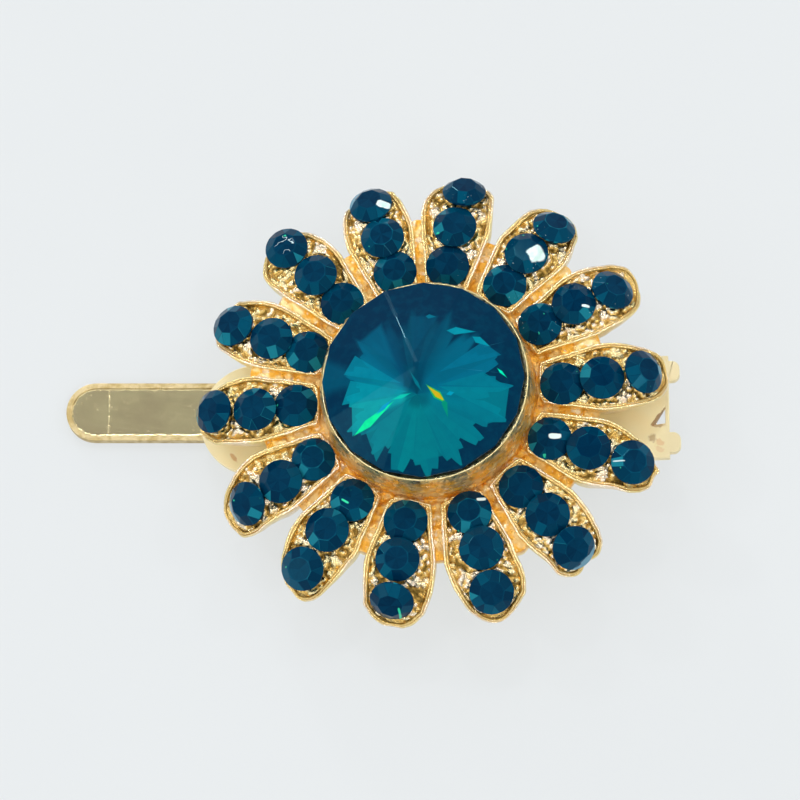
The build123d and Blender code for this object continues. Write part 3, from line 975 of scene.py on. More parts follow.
petals = copy_petalwise(petal, "flower_petals", wavered)
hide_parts("flower_casting")
settle(petals, casting_gold, 50)

# %% [markdown]
# ## Pebbled floors
# Between the stones the casting is left rough: a bed of rounded nuggets whose clefts get dark painted
# shade. A grid is stretched over the petal's floor, and every point is raised by its distance from the
# nearest of many scattered points, which gives a round hump about each of them. Higher lumps fill
# the waists where two stones leave room.

# %% Model a petal's floor
FLOOR_INSET = 0.46
FLOOR_LEVEL = RIM_LEVEL - 0.52
FLOOR_ALONG = 110
FLOOR_ACROSS = 54
NUGGET_SIZE = 0.5
NUGGET_HEIGHT = 0.3
NUGGET_REACH = 0.72
LUMP_HEIGHT = 0.3
LUMP_SIZE = 1.3
LUMP_LENGTH = 0.55
LUMP_PLACES = (9.9, 13.65, 17.3, 21.0)

floor_edge = [unrolled(x, y) for x, y in half_outline(FLOOR_INSET)]
bpy.ops.mesh.primitive_grid_add(x_subdivisions=FLOOR_ALONG, y_subdivisions=FLOOR_ACROSS, size=2)
floor = start_piece("floor")


def edge_at(x, edge):
    """Half width of an outline at a distance from the axis."""
    for (x0, y0), (x1, y1) in zip(edge, edge[1:]):
        if x <= x1:
            return y0 + (y1 - y0) * (x - x0) / (x1 - x0)
    return edge[-1][1]


def nuggets(at, size):
    """Round humps from 0 to 1 about scattered points."""
    nearest = noise.voronoi(at / size)[0][0]
    return max(0.0, 1 - (nearest / NUGGET_REACH) ** 2)


def nugget_floor(spot, petal_number):
    """Raise a point of the floor to the top of its nugget."""
    at = spot + Vector((0, 0, petal_number * 3.7))
    lumps = sum(bell(spot.x - place, LUMP_LENGTH) for place in LUMP_PLACES)
    side = min(1.0, abs(spot.y) / 1.1)
    rise = NUGGET_HEIGHT * nuggets(at, NUGGET_SIZE) + 0.05 * noise.noise(at * 5)
    return spot + Vector((0, 0, rise + LUMP_HEIGHT * lumps * side * nuggets(at, LUMP_SIZE)))


for corner in floor.data.vertices:
    x = ROOT + 0.1 + (floor_edge[-1][0] - ROOT - 0.12) * (corner.co.x + 1) / 2
    corner.co = (x, corner.co.y * edge_at(x, floor_edge), FLOOR_LEVEL)
# Lower points of the floor get more depth, so the clefts between nuggets get painted shade.
floors = copy_petalwise(floor, "petal_floors", nugget_floor, lambda spot: 1.25 - 4.5 * (spot.z - FLOOR_LEVEL))
settle(floors, casting_gold, 80)

# %% [markdown]
# ## Hub, cup and webs
# Everything inside the petals is round, so one profile turned about the axis gives the foot, the
# webs, the wall of the cup and the thin lip that is rolled over the centre stone's edge. The wall
# and the webs are as rough as the floors. Some webs reach farther out than others, and metal has run
# up in many of the gaps.

# %% The hub's measures
FOOT_RADIUS = 4.4
FOOT_FLARE = 0.6
WEB_BASE = 3.36
WEB_LEVEL = 4.2
WEB_RADIUS = 15.3
CUP_FOOT = 9.61
CUP_RADIUS = 9.36
CUP_STRAIGHT = 8.4
SEAT_RADIUS = 9.06
SEAT_EDGE = 8.97
SEAT_DEEP = 4.72
HUB_SIDES = 360
FOOT_LIFT = 0.03

web_top = [(radius, WEB_LEVEL) for radius in spread(WEB_RADIUS, CUP_FOOT, 34)]
cup_wall = list(zip(spread(CUP_FOOT, CUP_RADIUS, 30), spread(WEB_LEVEL, CUP_STRAIGHT, 30)))
rolled_lip = [(9.3, 8.7), (9.2, 8.95), (9.19, 9.08), (9.15, 9.16), (9.09, 9.18), (9.04, 9.14), (9.03, 9.05)]
foot = [(0, FOOT_LIFT), (FOOT_RADIUS, FOOT_LIFT), (FOOT_RADIUS, WEB_BASE - FOOT_FLARE)]
for angle in spread(0, pi / 2, 6)[1:]:
    foot.append((FOOT_RADIUS + FOOT_FLARE * (1 - cos(angle)), WEB_BASE - FOOT_FLARE * (1 - sin(angle))))
foot.append((WEB_RADIUS, WEB_BASE))
profile = foot + web_top + cup_wall[1:] + rolled_lip + [(SEAT_RADIUS, SEAT_EDGE), (0, SEAT_DEEP)]
print("hub's profile:", len(profile), "points")

# %% Turn the hub
hub = draw_line("flower_hub", [(radius, 0, z) for radius, z in profile])
turned = hub.modifiers.new("turned", "SCREW")
turned.steps = HUB_SIDES
turned.render_steps = HUB_SIDES
turned.use_merge_vertices = True
turned.merge_threshold = 0.001
keep_modifiers(hub)
edit(hub)
bpy.ops.mesh.select_all(action="SELECT")
bpy.ops.mesh.remove_doubles(threshold=0.001)
bpy.ops.mesh.normals_make_consistent(inside=False)
leave()
print("hub:", triangles(hub), "triangles")

# %% Long webs and filled gaps
LONG_WEBS = {
    # gap after petal: how far its web reaches past the others
    2: 1.8, 3: 0.7, 6: 1.5, 8: 0.2, 11: 1.1, 12: 1.2, 14: 1.4,
}
WEB_STRETCH_START = 12.5
WEB_HALF = 0.24
WEB_FILL = {
    # gap after petal: how high metal has run up in it
    1: 0.1, 2: 0.5, 3: 0.6, 6: 0.4, 7: 0.2, 8: 0.4, 9: 0.3,
    10: 0.4, 11: 0.6, 12: 0.6, 13: 0.55, 14: 0.55,
}
FILL_START = 11.4
FILL_END = 13.4


def at_gap(amounts, x, y):
    """What a table of amounts, one for the gap after each petal, gives at this bearing."""
    place = (FIRST_PETAL_ANGLE - atan2(y, x)) / (2 * pi / PETAL_COUNT) % PETAL_COUNT
    off_gap = abs(place % 1 - 0.5)
    return amounts.get(int(place) + 1, 0.0) * max(0.0, 1 - (off_gap / WEB_HALF) ** 2)


print("long webs:", len(LONG_WEBS), "filled gaps:", len(WEB_FILL))

# %% Roughen the wall and the webs
CUP_NUGGET = 0.6
WEB_GRAIN = 0.3
WALL_GRAIN = 0.22
WALL_SWELL = 0.1
CUP_TURN = 7.0
CUP_LEAN = Vector((0.12, -0.12, 0))
CUP_TIP = 0.13
# depths holds what the paint turns into painted shade and painted copper reflection: more in hollows and low
# on the wall, less on nugget tops, in filled gaps and up the wall.
depths = []
for corner in hub.data.vertices:
    x, y, z = corner.co
    radius = hypot(x, y)
    outside = radius > CUP_RADIUS - 0.01 and WEB_LEVEL - 0.01 < z < CUP_STRAIGHT + 0.4
    hump = 0.0
    if outside and radius < WEB_RADIUS - 0.05:
        hump = nuggets(corner.co, CUP_NUGGET) - 0.4
        if radius > CUP_FOOT:
            corner.co.z += WEB_GRAIN * hump
        else:
            hump *= 1 - 0.45 * min(1.0, max(0.0, (z - WEB_LEVEL - 0.8) / 1.2))
            swell = noise.noise(corner.co * 0.9) + 0.5 * noise.noise(corner.co * 2.3)
            corner.co += Vector((x / radius, y / radius, 0.4)) * (WALL_GRAIN * hump + WALL_SWELL * swell)
    if radius > WEB_STRETCH_START:
        share = (radius - WEB_STRETCH_START) / (WEB_RADIUS - WEB_STRETCH_START)
        corner.co += Vector((x, y, 0)) / radius * at_gap(LONG_WEBS, x, y) * share
    fill = 0.0
    if outside and radius > FILL_START:
        fill = at_gap(WEB_FILL, x, y) * min(1.0, (radius - FILL_START) / (FILL_END - FILL_START))
        corner.co.z += fill
    if z > CUP_TURN:
        lean = (z - CUP_TURN) / (SEAT_EDGE - CUP_TURN)
        side = (x * CUP_LEAN.x + y * CUP_LEAN.y) / (radius * CUP_LEAN.length) if radius > 1 else 0
        corner.co += CUP_LEAN * lean + Vector((0, 0, CUP_TIP * side * lean))
    elif z < WEB_BASE + 0.01 and radius > FOOT_RADIUS:
        corner.co.z += 0.06 * noise.noise(corner.co * 0.5) + 0.03 * noise.noise(corner.co * 1.9)
    up_the_wall = min(1.0, max(0.0, (z - WEB_LEVEL - 0.3) / 3))
    depths.append((0.95 - 0.6 * hump - 0.4 * up_the_wall - 0.8 * fill) if outside else 0.1)
store(hub, "depth", depths)
hub.data.transform(FLOWER)
print("depth on the hub:", round(min(depths), 2), "to", round(max(depths), 2))

# %% Copper in the cup, with painted reflection, painted shade and painted highlights
# Painted shade in the pits, and the stretch of the painted highlight streaks.
PIT_SHADE = (0.50, 0.22, 0.04)
HIGHLIGHT_STRETCH = (0.7, 0.7, 3.0)


def cup_colour(paint):
    """Copper as painted reflection, with pale clouds, brown pits as painted shade and bright grains as
    painted highlight streaks. It turns to gold towards the lip.
    """
    copper = paint.mix(paint.noise(paint.place(), 0.8, 4).ease(0.42, 0.58), COPPER_REFLECTION, CUP_PALE)
    # Painted reflection: copper deep in the cup, gold towards the lip.
    gold = paint.mix(paint.own("depth").ease(0.1, 0.6), GOLD_YELLOW, copper)
    # Painted shade: brown patches for pits.
    pitted = paint.mix(0.6 * paint.noise(paint.place(), 1.2, 2).ease(0.38, 0.28), gold, PIT_SHADE)
    # Painted highlights: short bright streaks round the wall.
    highlight_streaks = paint.node("ShaderNodeMapping", None, Vector=paint.place(flower=True), Scale=HIGHLIGHT_STRETCH)
    return paint.mix(0.8 * paint.noise(highlight_streaks, 1.2, 2).ease(0.6, 0.68), pitted, GOLD_PALE)


cup_gold = finish(
    "rough copper gold",
    cup_colour,
    lambda p: 0.16 + 0.3 * p.noise(p.place(), 1.8, 3),
    metallic=lambda p: 1 - 0.5 * p.own("depth").ease(0.2, 0.7),
    bump=lambda p: p.noise(p.place(), 1.6, 3) + 0.3 * p.noise(p.place(), 5.0, 2),
    bump_height=0.2,
)
settle(hub, cup_gold, 60)

# %% [markdown]
# ## Solder seam
# The flower's foot stands on the plate in a ring of solder. A thin torus that swells and thins a
# little, flattened against the plate, looks as if it had flowed there.

# %% The solder seam round the foot
SEAM_RADIUS = 4.55
SEAM_THICKNESS = 0.24
SEAM_LIFT = 0.12
SEAM_FOOT = 0.01
bpy.ops.object.select_all(action="DESELECT")
bpy.ops.mesh.primitive_torus_add(
    major_radius=SEAM_RADIUS, minor_radius=SEAM_THICKNESS, major_segments=96, minor_segments=12
)
seam = start_piece("solder_seam")
for corner in seam.data.vertices:
    x, y, z = corner.co
    swell = 1 + 0.35 * noise.noise(corner.co * 0.8)
    wider = 1 + 0.02 * swell
    corner.co = (x * wider, y * wider, max(SEAM_LIFT + z * swell, SEAM_FOOT))
seam.data.transform(FLOWER)
store(seam, "depth", [0.3] * len(seam.data.vertices))
settle(seam, casting_gold, 80)

# %% [markdown]
# ## Small stones
# Each small stone is cut as a jeweller would: start from a short round blank and slice it flat
# along one plane after another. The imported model's stones say where each of them sits and how it
# leans, so every copy is laid on the table face of its own packed stone.

# %% Cut one stone
STONE_RADIUS = 1.975
TABLE_HALF = 1.05
CROWN = 0.75
GIRDLE = 0.16
PAVILION = 1.5
CULET_HALF = 0.15
GIRDLE_SIDES = 32
STONE_DEPTH = CROWN + GIRDLE + PAVILION

bpy.ops.mesh.primitive_cylinder_add(
    vertices=GIRDLE_SIDES, radius=STONE_RADIUS, depth=STONE_DEPTH, location=(0, 0, -STONE_DEPTH / 2)
)
bpy.ops.object.transform_apply(location=True, rotation=False, scale=False)
stone = start_piece("stone")
girdle_top = -CROWN
girdle_foot = -CROWN - GIRDLE


def slice_off(turn_angle, foot, top):
    """Cut a facet: its slope passes two points of a profile, given as (radius, height)."""
    run, rise = top[0] - foot[0], top[1] - foot[1]
    out, up = abs(rise), -run if rise > 0 else run
    normal = Vector((out * cos(turn_angle), out * sin(turn_angle), up))
    point = (foot[0] * cos(turn_angle), foot[0] * sin(turn_angle), foot[1])
    bpy.ops.mesh.select_all(action="SELECT")
    bpy.ops.mesh.bisect(plane_co=point, plane_no=normal, clear_outer=True, use_fill=True)


edit(stone)
eighth = pi / 4
for facet in range(8):
    main = facet * eighth
    slice_off(main, (STONE_RADIUS, girdle_top), (TABLE_HALF, 0))
    slice_off(main, (STONE_RADIUS, girdle_foot), (CULET_HALF, -STONE_DEPTH))
for facet in range(8):
    between = (facet + 0.5) * eighth
    slice_off(between, (STONE_RADIUS * 1.015, girdle_top - 0.04), (1.36, -0.2))
    slice_off(between, (STONE_RADIUS * 1.02, girdle_foot + 0.03), (0.9, girdle_foot - 0.95))
leave()
print("stone:", len(stone.data.polygons), "facets,", [round(s, 2) for s in stone.dimensions])

# %% Round its edges a little
edge = stone.modifiers.new("soft edges", "BEVEL")
edge.limit_method = "ANGLE"
edge.angle_limit = radians(3)
edge.width = 0.013
edge.segments = 1
keep_modifiers(stone)
print("stone with soft edges:", triangles(stone), "triangles")

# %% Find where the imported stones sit
def table_of(node):
    """Centre, axis and one corner direction of a packed stone's table, its largest flat face."""
    part = frame["nodes"][node]
    flats = {}
    for face in part.data.polygons:
        way = part.matrix_world.to_3x3() @ face.normal
        flats.setdefault(tuple(round(side, 2) for side in way), []).append(face)
    largest = max(flats.values(), key=lambda faces: sum(face.area for face in faces))
    area = sum(face.area for face in largest)
    middle = sum((face.center * face.area for face in largest), Vector()) / area
    corners = [part.data.vertices[index].co for face in largest for index in face.vertices]
    farthest = max(corners, key=lambda corner: (corner - middle).length)
    axis = (part.matrix_world.to_3x3() @ largest[0].normal).normalized()
    return part.matrix_world @ middle, axis, (part.matrix_world @ farthest) - (part.matrix_world @ middle)


ROWS = ("inner", "middle", "outer")
stone_names = [f"petal_{number + 1:02d}_stone_{row}" for number in range(PETAL_COUNT) for row in ROWS]
middle, axis, corner = table_of(stone_names[0])
print("first table: axis", [round(side, 3) for side in axis], "half width", round(corner.length / MM, 2))

# %% [markdown]
# A few stones catch a lamp. A cut stone flashes where one hidden facet faces the light just so, and
# that place wanders with every small tilt of the stone. Each flash is given here as a place on its
# stone in millimetres, to the right and up as one looks down on the flower, with its half width and
# half height. Some are broken up with green. On the stones that hang over their petals' ends, the
# facets of the far edge look through to the table and are pale.

# %% Where the flashes and the pale edges are
FLASHES = {
    # stone: right, up, half width, half height, slant in degrees, strength, share of green
    "petal_02_stone_middle": (0.88, -0.35, 0.72, 0.72, 25, 1.0, 0.25),
    "petal_14_stone_outer": (1.36, -0.6, 0.62, 0.32, -10, 1.0, 0.3),
    "petal_03_stone_middle": (1.07, -0.5, 0.36, 0.12, -4, 1.0, 0.0),
    "petal_05_stone_inner": (0.54, -0.03, 0.55, 0.24, -3, 0.95, 0.0),
    "petal_07_stone_inner": (1.12, 1.05, 0.42, 0.15, 12, 1.0, 0.0),
    "petal_05_stone_outer": (-1.4, 0.0, 0.52, 0.06, -4, 0.75, 0.0),
    "petal_08_stone_outer": (0.85, -0.5, 0.1, 0.36, 18, 0.8, 1.0),
    "petal_09_stone_inner": (-0.54, -0.31, 0.36, 0.09, -32, 0.9, 1.0),
}
NOWHERE = (99, 99, 1, 1, 0, 0, 0)
# Painted reflection: these stones' far-edge facets are painted pale, as the bright table seen through them.
PALE_EDGES = {
    # stone: bearing of the pale edge in degrees, from the right
    "petal_06_stone_outer": -42,
    "petal_10_stone_outer": -165,
    "petal_14_stone_outer": 140,
}
SCUFFED = "petal_13_stone_outer"
print("stones that flash:", len(FLASHES), "and pale at the far edge:", len(PALE_EDGES))

# %% Lay a copy on each
def way_at(degrees):
    """Direction at a bearing from the right, as one looks down."""
    return Vector((cos(radians(degrees)), sin(radians(degrees))))


chance = random.Random(42)
laid = []
for node in stone_names:
    middle, axis, corner = table_of(node)
    corner = (corner - axis * corner.dot(axis)).normalized()
    sideways = axis.cross(corner)
    spin = Matrix.Rotation(eighth / 2, 4, "Z")
    rest = Matrix((corner, sideways, axis)).transposed().to_4x4()
    copy = own_copy(stone)
    # A random brightness for each facet, which the paint shows as painted reflection.
    tones = [chance.random() for face in copy.data.polygons]
    copy.data.attributes.new("tone", "FLOAT", "FACE")
    copy.data.attributes["tone"].data.foreach_set("value", tones)
    store(copy, "across", [corner.co.x / STONE_RADIUS for corner in copy.data.vertices])
    store(copy, "along", [corner.co.y / STONE_RADIUS for corner in copy.data.vertices])
    store(copy, "seed", [len(laid)] * len(copy.data.vertices))
    copy.data.transform(Matrix.Translation(middle) @ rest @ spin @ Matrix.Scale(MM, 4))
    right, up, half_wide, half_high, slant, strength, green = FLASHES.get(node, NOWHERE)
    level = Matrix.Rotation(-radians(slant), 2)
    aside = [level @ (((corner.co - middle) / MM).xy - Vector((right, up))) for corner in copy.data.vertices]
    store(copy, "flash_x", [spot.x / half_wide for spot in aside])
    store(copy, "flash_y", [spot.y / half_high for spot in aside])
    store(copy, "flash", [strength] * len(aside))
    store(copy, "flash_green", [green] * len(aside))
    # outwards is how far a point lies towards the pale edge, for that painted reflection.
    edge_way = way_at(PALE_EDGES.get(node, 0)).to_3d()
    edge_way = (edge_way - axis * edge_way.dot(axis)).normalized() * (1 if node in PALE_EDGES else 0)
    outwards = [(corner.co - middle).dot(edge_way) / MM / STONE_RADIUS for corner in copy.data.vertices]
    store(copy, "outwards", outwards)
    store(copy, "scuffed", [float(node == SCUFFED)] * len(aside))
    laid.append(copy)
bpy.data.objects.remove(stone)
stones = join_all(laid, "petal_stones")
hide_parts(*stone_names)
print("stones laid:", len(laid))

# %% Paint the small stones
GLASS_SHINE = (0.2, 0.85, 1.0, 1.0)
# The lighter table and ring tones and the pale facet tone are painted reflections on the dark glass.
STONE_TABLE_DARK = (0.0, 0.015, 0.047)
STONE_TABLE_LIGHT = (0.0, 0.033, 0.080)
STONE_RING_DARK = (0.0, 0.021, 0.058)
STONE_RING_LIGHT = (0.0, 0.075, 0.14)
STONE_PALE = (0.01, 0.19, 0.26)
STONE_FLASH = (0.86, 1.0, 0.98)
FLASH_GREEN = photo_colour(60, 225, 170)
# Painted reflection of the table at the far edge.
EDGE_PALE = photo_colour(120, 168, 188)
GLUE_WHITE = (0.62, 0.78, 0.82)
GLUED_STONES = 9


def whole(paint, value):
    """A number rounded down."""
    return paint.node("ShaderNodeMath", {"operation": "FLOOR"}, value)


def chance_of(paint, number):
    """A random number from 0 to 1 for every number."""
    return paint.node("ShaderNodeTexWhiteNoise", {"noise_dimensions": "1D"}, W=number)


def stone_colour(paint):
    """Painted reflections: rays under the table, a tone for each facet round it, pale facets, green sparks
    and flashes. Also scratches and glue.
    """
    across, along, tone = paint.own("across"), paint.own("along"), paint.own("tone")
    reach = (across * across + along * along) ** 0.5
    turn = paint.node("ShaderNodeMath", {"operation": "ARCTAN2"}, along, across) / (2 * pi)
    # Painted reflection: light and dark rays of the stone's foot, seen through the table.
    ray = chance_of(paint, whole(paint, turn * 8 + 0.5) + 31.7 * paint.own("seed"))
    thin_ray = chance_of(paint, whole(paint, turn * 24) + 17.3 * paint.own("seed"))
    table = paint.mix(0.7 * ray + 0.3 * thin_ray, STONE_TABLE_DARK, STONE_TABLE_LIGHT)
    # Painted reflection: each facet round the table gets its own brightness, and a few are pale.
    ring = paint.mix(tone**1.6, STONE_RING_DARK, STONE_RING_LIGHT)
    ring = paint.mix(tone.ease(0.92, 0.97), ring, STONE_PALE)
    glass = paint.mix(reach.ease(0.48, 0.54), table, ring)
    broken = paint.noise(paint.place(), 1.9, 3)
    off_flash = (paint.own("flash_x") ** 4 + paint.own("flash_y") ** 4) ** 0.25 + 0.5 * (broken - 0.5)
    spot = off_flash.ease(1.12, 0.88) * paint.own("flash")
    tint = paint.own("flash_green") * (broken + 0.6 * paint.own("flash_green")).ease(0.5, 0.9)
    flash = paint.mix(tint, STONE_FLASH, FLASH_GREEN)
    # Painted reflection: pale facets at the far edge.
    far_edge = (paint.own("outwards") + 0.2 * (tone - 0.5)).ease(0.62, 0.66)
    glass = paint.mix(far_edge * 0.75, glass, EDGE_PALE)
    # Painted glints: small green sparks.
    sparks = paint.noise(paint.place(), 2.1, 0).ease(0.85, 0.88)
    glass = paint.mix(0.7 * sparks, glass, FLASH_GREEN)
    hair = abs(paint.noise(paint.place(), 0.9, 2) - 0.5).ease(0.015, 0.004) * reach.ease(0.5, 0.4)
    glass = paint.mix(hair * paint.own("scuffed"), glass, GLUE_WHITE)
    crumbs = paint.noise(paint.place(), 5.0, 2).ease(0.71, 0.75) * reach.ease(0.62, 0.8)
    glued = crumbs * (paint.own("seed") < GLUED_STONES) * 0.8
    return paint.mix(glued, paint.mix(spot, glass, flash), GLUE_WHITE)


stone_glass = finish(
    "petal stone glass", stone_colour, 0.05, Specular_IOR_Level=0.15, Specular_Tint=GLASS_SHINE
)
settle(stones, stone_glass, None)

# %% [markdown]
# ## Centre stone
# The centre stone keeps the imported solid, with a fine bevel, because sixteen flat facets that meet
# in a point are all that its crown has. What one sees in it is its foot: sixteen long facets that
# shine like the teeth of a star round a centre a little below the point. Clear glass would show
# them only with thousands of samples and would not survive a bake, so the star is painted, with
# polar coordinates about its centre. The star lies as deep as the stone's edge. It is carried
# through the crown along one fixed slant, STAR_SLANT, so it stays put when the stone turns.

# %% The star's measures, in millimetres from the stone's axis
GIRDLE_LEVEL = 9.2
STAR_SLANT = Vector((-0.085, -0.305))
STAR_CENTRE = Vector((0.14, -1.4))
STAR_POINTS = 16
FIRST_POINT = radians(3.5)
STAR_REACH = 7.6
TOOTH_DEPTH = 3.4
TOOTH_SHAKE = 0.9
FINE_POINTS = 43
FINE_DEPTH = 1.5
FINE_FACETS = 61
STAR_TONES = [
    # degrees round from the right, colour as read in the photograph
    (0, (0, 128, 148)),
    (18, (0, 104, 134)),
    (34, (0, 100, 130)),
    (52, (0, 96, 126)),
    (70, (0, 62, 90)),
    (100, (0, 40, 69)),
    (128, (0, 72, 104)),
    (146, (0, 100, 130)),
    (158, (0, 128, 146)),
    (184, (0, 138, 150)),
    (198, (0, 158, 160)),
    (214, (0, 112, 128)),
    (232, (0, 126, 134)),
    (262, (0, 124, 132)),
    (292, (0, 124, 134)),
    (318, (0, 116, 130)),
    (336, (0, 124, 140)),
    (360, (0, 128, 148)),
]
STONE_EDGE = (0, 40, 69)
STONE_HEART = (0, 64, 84)
STONE_DIM = (0, 84, 108)
STONE_CLOUD = (0, 84, 110)
print("star:", STAR_POINTS, "points and", len(STAR_TONES), "tones")

# %% The star's fans
FANS = [
    # three corners from the star's centre, tone, blur of the sides
    (((-2.0, 1.0), (-10.5, -0.5), (-9.5, 4.5)), (0, 88, 116), 1.6),
    (((-1.2, 1.0), (-5.9, 3.8), (-7.0, 2.0)), (0, 124, 148), 0.06),
    (((-1.0, 0.5), (-7.0, 2.0), (-6.3, 1.5)), (0, 108, 134), 0.06),
    (((-0.7, 0.3), (-6.3, 1.5), (-7.2, -0.8)), (0, 136, 154), 0.06),
    (((-0.6, 0.1), (-6.2, -0.7), (-6.3, -3.7)), (0, 150, 156), 0.06),
    (((-1.2, -0.1), (-6.1, -3.7), (-5.0, -3.3)), (0, 84, 108), 0.1),
    (((-0.4, -0.2), (-5.0, -3.3), (-4.2, -6.1)), (0, 120, 132), 0.06),
    (((0.2, -0.6), (-0.9, -6.2), (1.8, -5.7)), (0, 118, 128), 0.1),
    (((2.9, -0.7), (5.7, -2.9), (7.2, -2.5)), (0, 112, 130), 0.06),
    (((1.8, 0.7), (7.2, -2.5), (7.6, 0.4)), (0, 124, 140), 0.06),
    (((1.8, 0.8), (7.6, 0.4), (5.5, 1.9)), (0, 116, 136), 0.06),
    (((1.8, 1.9), (7.0, 3.4), (5.4, 4.7)), (0, 108, 138), 0.06),
    (((-1.3, 2.2), (-5.8, 5.0), (-3.5, 7.0)), (0, 88, 118), 0.5),
    (((-0.4, 3.2), (-1.1, 7.4), (1.8, 7.3)), (0, 68, 96), 0.3),
    (((-1.5, 3.0), (0.4, 2.4), (0.3, 0.1)), (0, 66, 90), 0.3),
    (((-1.2, 2.6), (-1.3, 0.7), (0.2, 0.1)), (0, 60, 84), 0.3),
]
FAN_SHARE = 0.75
print("fans:", len(FANS))

# %% Paint the star
def star_place(paint):
    """Across and along from the star's centre, at the depth of the stone's edge."""
    x, y, z = paint.parts(paint.place(flower=True))
    lift = z - GIRDLE_LEVEL
    return x - lift * STAR_SLANT.x - STAR_CENTRE.x, y - lift * STAR_SLANT.y - STAR_CENTRE.y


def ramp(paint, share, stops):
    """Colour for a share from 0 to 1, straight between stops of (share, colour)."""
    made = paint.node("ShaderNodeValToRGB", None, share)
    band = made.socket.node.color_ramp
    band.elements[0].position, band.elements[-1].position = stops[0][0], stops[-1][0]
    for place, colour in stops[1:-1]:
        band.elements.new(place)
    for element, stop in zip(band.elements, stops):
        element.color = rgba(stop[1])
    return made


def star_colour(paint):
    """Teeth of many lengths round the centre, sharp below and soft above, in the tones read round it."""
    across, along = star_place(paint)
    turn = paint.node("ShaderNodeMath", {"operation": "ARCTAN2"}, along, across)
    reach = (across * across + along * along) ** 0.5
    share = (turn / (2 * pi)) % 1.0
    point = share * STAR_POINTS - FIRST_POINT / (2 * pi) * STAR_POINTS + 0.5
    off_point = abs(point % 1.0 - 0.5)
    fine_point = abs((share * FINE_POINTS) % 1.0 - 0.5)
    limit = STAR_REACH - TOOTH_DEPTH * off_point - FINE_DEPTH * fine_point
    limit = limit + TOOTH_SHAKE * (chance_of(paint, whole(paint, point) + 3.3) - 0.5)
    upper = (along / reach).ease(0.35, 0.85)
    sharp, soft = (limit - reach).ease(-0.04, 0.06), (limit - reach).ease(-0.9, 0.7)
    inside = sharp + upper * (soft - sharp)
    base = ramp(paint, share, [(angle / 360, photo_colour(*tone)) for angle, tone in STAR_TONES])
    facet = 0.4 * chance_of(paint, whole(paint, point * 2) + 11.1)
    facet = facet + 0.15 * chance_of(paint, whole(paint, share * FINE_FACETS) + 5.5)
    shaded = paint.mix(facet * (reach / 3).ease(0.2, 1.0), base, photo_colour(*STONE_DIM))
    heart = paint.mix((1.7 - reach).ease(0.0, 1.0) * 0.6, shaded, photo_colour(*STONE_HEART))
    return paint.mix(inside, photo_colour(*STONE_EDGE), heart)


def mottled(paint, colour):
    """The slight cloudiness of cast glass."""
    cloud = paint.noise(paint.place(), 1.3, 4).ease(0.4, 0.7)
    return paint.mix(0.16 * cloud, colour, photo_colour(*STONE_CLOUD))


# %% Streaks of fire and shining edges
STREAKS = [
    # start, end, widest, where widest, colour
    ((-6.25, -3.72), (-1.9, -0.35), 0.42, 0.35, (0, 232, 150)),
    ((-4.1, -1.9), (-2.2, -0.3), 0.24, 0.5, (0, 150, 195)),
    ((-2.6, -0.5), (-0.3, 0.2), 0.22, 0.5, (0, 190, 165)),
    ((0.75, 1.0), (2.5, -1.0), 0.42, 0.55, (40, 180, 60)),
    ((0.85, 0.85), (2.35, -0.75), 0.28, 0.6, (205, 170, 10)),
    ((2.2, -0.5), (2.5, -2.4), 0.3, 0.2, (0, 140, 110)),
    ((6.55, 2.3), (7.55, 1.15), 0.16, 0.4, (0, 240, 185)),
    ((2.3, 5.8), (5.0, 5.6), 0.4, 0.3, (0, 140, 160)),
    ((4.5, 5.2), (6.2, 4.1), 0.35, 0.3, (0, 140, 160)),
    ((0.4, 7.2), (1.5, 7.1), 0.25, 0.3, (0, 105, 130)),
    ((-0.6, 2.4), (0.5, 0.1), 0.2, 0.6, (0, 110, 128)),
    ((2.4, -0.1), (3.2, 0.1), 0.25, 0.5, (0, 150, 180)),
]
GLINT_BEARING = 112.5
GLINT_START = 3.1
GLINT_END = 5.8
CROWN_LINES = [
    # bearing of a crown edge in degrees, from, to, share
    (0.0, 1.6, 8.9, 0.4),
    (22.5, 4.4, 8.9, 0.3),
    (GLINT_BEARING, 0.4, 8.9, 0.45),
]
LINE_PALE = photo_colour(60, 165, 195)
LINE_HALF = 0.06
print("streaks:", len(STREAKS), "and shining crown edges:", len(CROWN_LINES))

# %% Paint the centre stone
def centre_colour(paint):
    """The star with its streaks of coloured fire and a few shining crown edges laid over it."""
    across, along = star_place(paint)
    colour = star_colour(paint)
    for corners, tone, blur in FANS:
        colour = paint.mix(FAN_SHARE * wedge(across, along, corners, blur), colour, photo_colour(*tone))
    for start, end, wide, belly, tone in STREAKS:
        colour = paint.mix(spindle(across, along, start, end, wide, belly), colour, photo_colour(*tone))
    x, y, z = paint.parts(paint.place(flower=True))
    for bearing, first, last, share in CROWN_LINES:
        way = way_at(bearing)
        broken = paint.noise(paint.place(), 2.0, 2).ease(0.35, 0.5)
        line = spindle(x, y, way * first, way * last, LINE_HALF) * broken
        colour = paint.mix(share * line, colour, LINE_PALE)
    return mottled(paint, colour)


def centre_roughness(paint):
    """Clear glass. The crown edge that catches the window is worn dull, but for one short stretch."""
    x, y, z = paint.parts(paint.place(flower=True))
    way = way_at(GLINT_BEARING)
    ahead, aside = x * way.x + y * way.y, abs(y * way.x - x * way.y)
    edge = (0.2 - aside).ease(0.0, 0.06) * ahead.ease(0.0, 0.5)
    worn = (ahead - GLINT_END).ease(-0.3, 0.3).most((GLINT_START - ahead).ease(-0.2, 0.2))
    return 0.03 + 0.35 * edge * worn


centre_glass = finish(
    "centre stone glass",
    centre_colour,
    centre_roughness,
    Specular_IOR_Level=0.12,
    Specular_Tint=GLASS_SHINE,
)
soften("centre_stone", 0.07, edge_angle=radians(4))
dress("centre_stone", centre_glass)

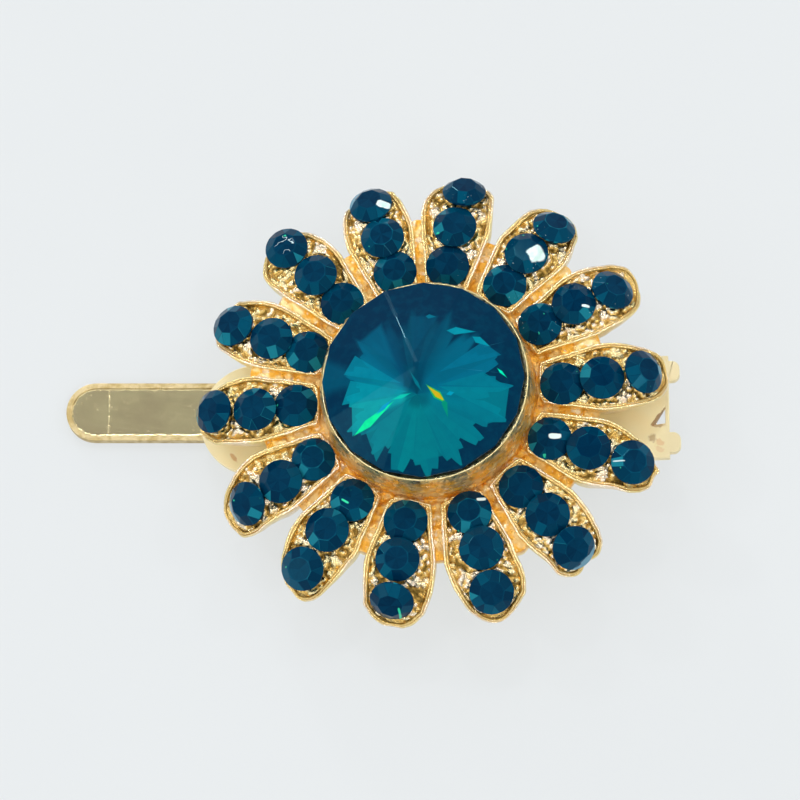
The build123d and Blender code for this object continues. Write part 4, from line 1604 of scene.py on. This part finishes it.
# %% [markdown]
# ## Spring
# The imported model's leaf spring can't bend, because its solids are rigid. Here the leaf is a strip of
# sheet that runs back from under the jaw's hinge, round the pin and back under the plate. It is
# drawn as a line, pulled to its width and given its thickness.

# %% The leaf's line
LEAF_SHEET = 0.3
LEAF_WIDTH = 3.0
LEAF_LOOP = 1.0
leaf_low, leaf_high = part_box("spring")
pin_x, pin_z = pin.x / MM, pin.z / MM
end_x = leaf_high.x / MM - 0.1
upper_end = Vector((end_x, leaf_high.z / MM - LEAF_SHEET / 2 - 0.02))
lower_end = Vector((end_x, leaf_low.z / MM + LEAF_SHEET / 2 + 0.02))
pin_spot = Vector((pin_x, pin_z))


def tangent_angle(end, side):
    """Bearing from the pin to where a line from the arm's end touches the loop."""
    away = end - pin_spot
    return atan2(away.y, away.x) + side * acos(LEAF_LOOP / away.length)


first = tangent_angle(upper_end, 1)
last = tangent_angle(lower_end, -1) + 2 * pi
loop = [pin_spot + LEAF_LOOP * Vector((cos(angle), sin(angle))) for angle in spread(first, last, 25)]
upper_arm = [upper_end.lerp(loop[0], share) for share in spread(0, 1, 8)[:-1]]
lower_arm = [loop[-1].lerp(lower_end, share) for share in spread(0, 1, 8)[1:]]
path = upper_arm + loop + lower_arm
leaf_middle = (leaf_low.y + leaf_high.y) / 2 / MM
print("leaf's line:", len(path), "points")

# %% Give it width and thickness
leaf = draw_line("spring_leaf", [(spot.x, leaf_middle - LEAF_WIDTH / 2, spot.y) for spot in path])
edit(leaf)
bpy.ops.mesh.select_mode(type="EDGE")
bpy.ops.mesh.select_all(action="SELECT")
bpy.ops.mesh.extrude_region_move(TRANSFORM_OT_translate={"value": (0, LEAF_WIDTH, 0)})
bpy.ops.mesh.select_all(action="SELECT")
bpy.ops.mesh.normals_make_consistent(inside=False)
leave()
sheet = leaf.modifiers.new("sheet", "SOLIDIFY")
sheet.thickness = LEAF_SHEET
sheet.offset = 0
rounded = leaf.modifiers.new("soft edges", "BEVEL")
rounded.limit_method = "ANGLE"
rounded.angle_limit = radians(40)
rounded.width = 0.05
rounded.segments = 2
keep_modifiers(leaf)
leaf.data.transform(Matrix.Scale(MM, 4))
settle(leaf, spring_steel, 40, ride=False)
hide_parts("spring")
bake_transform(leaf)
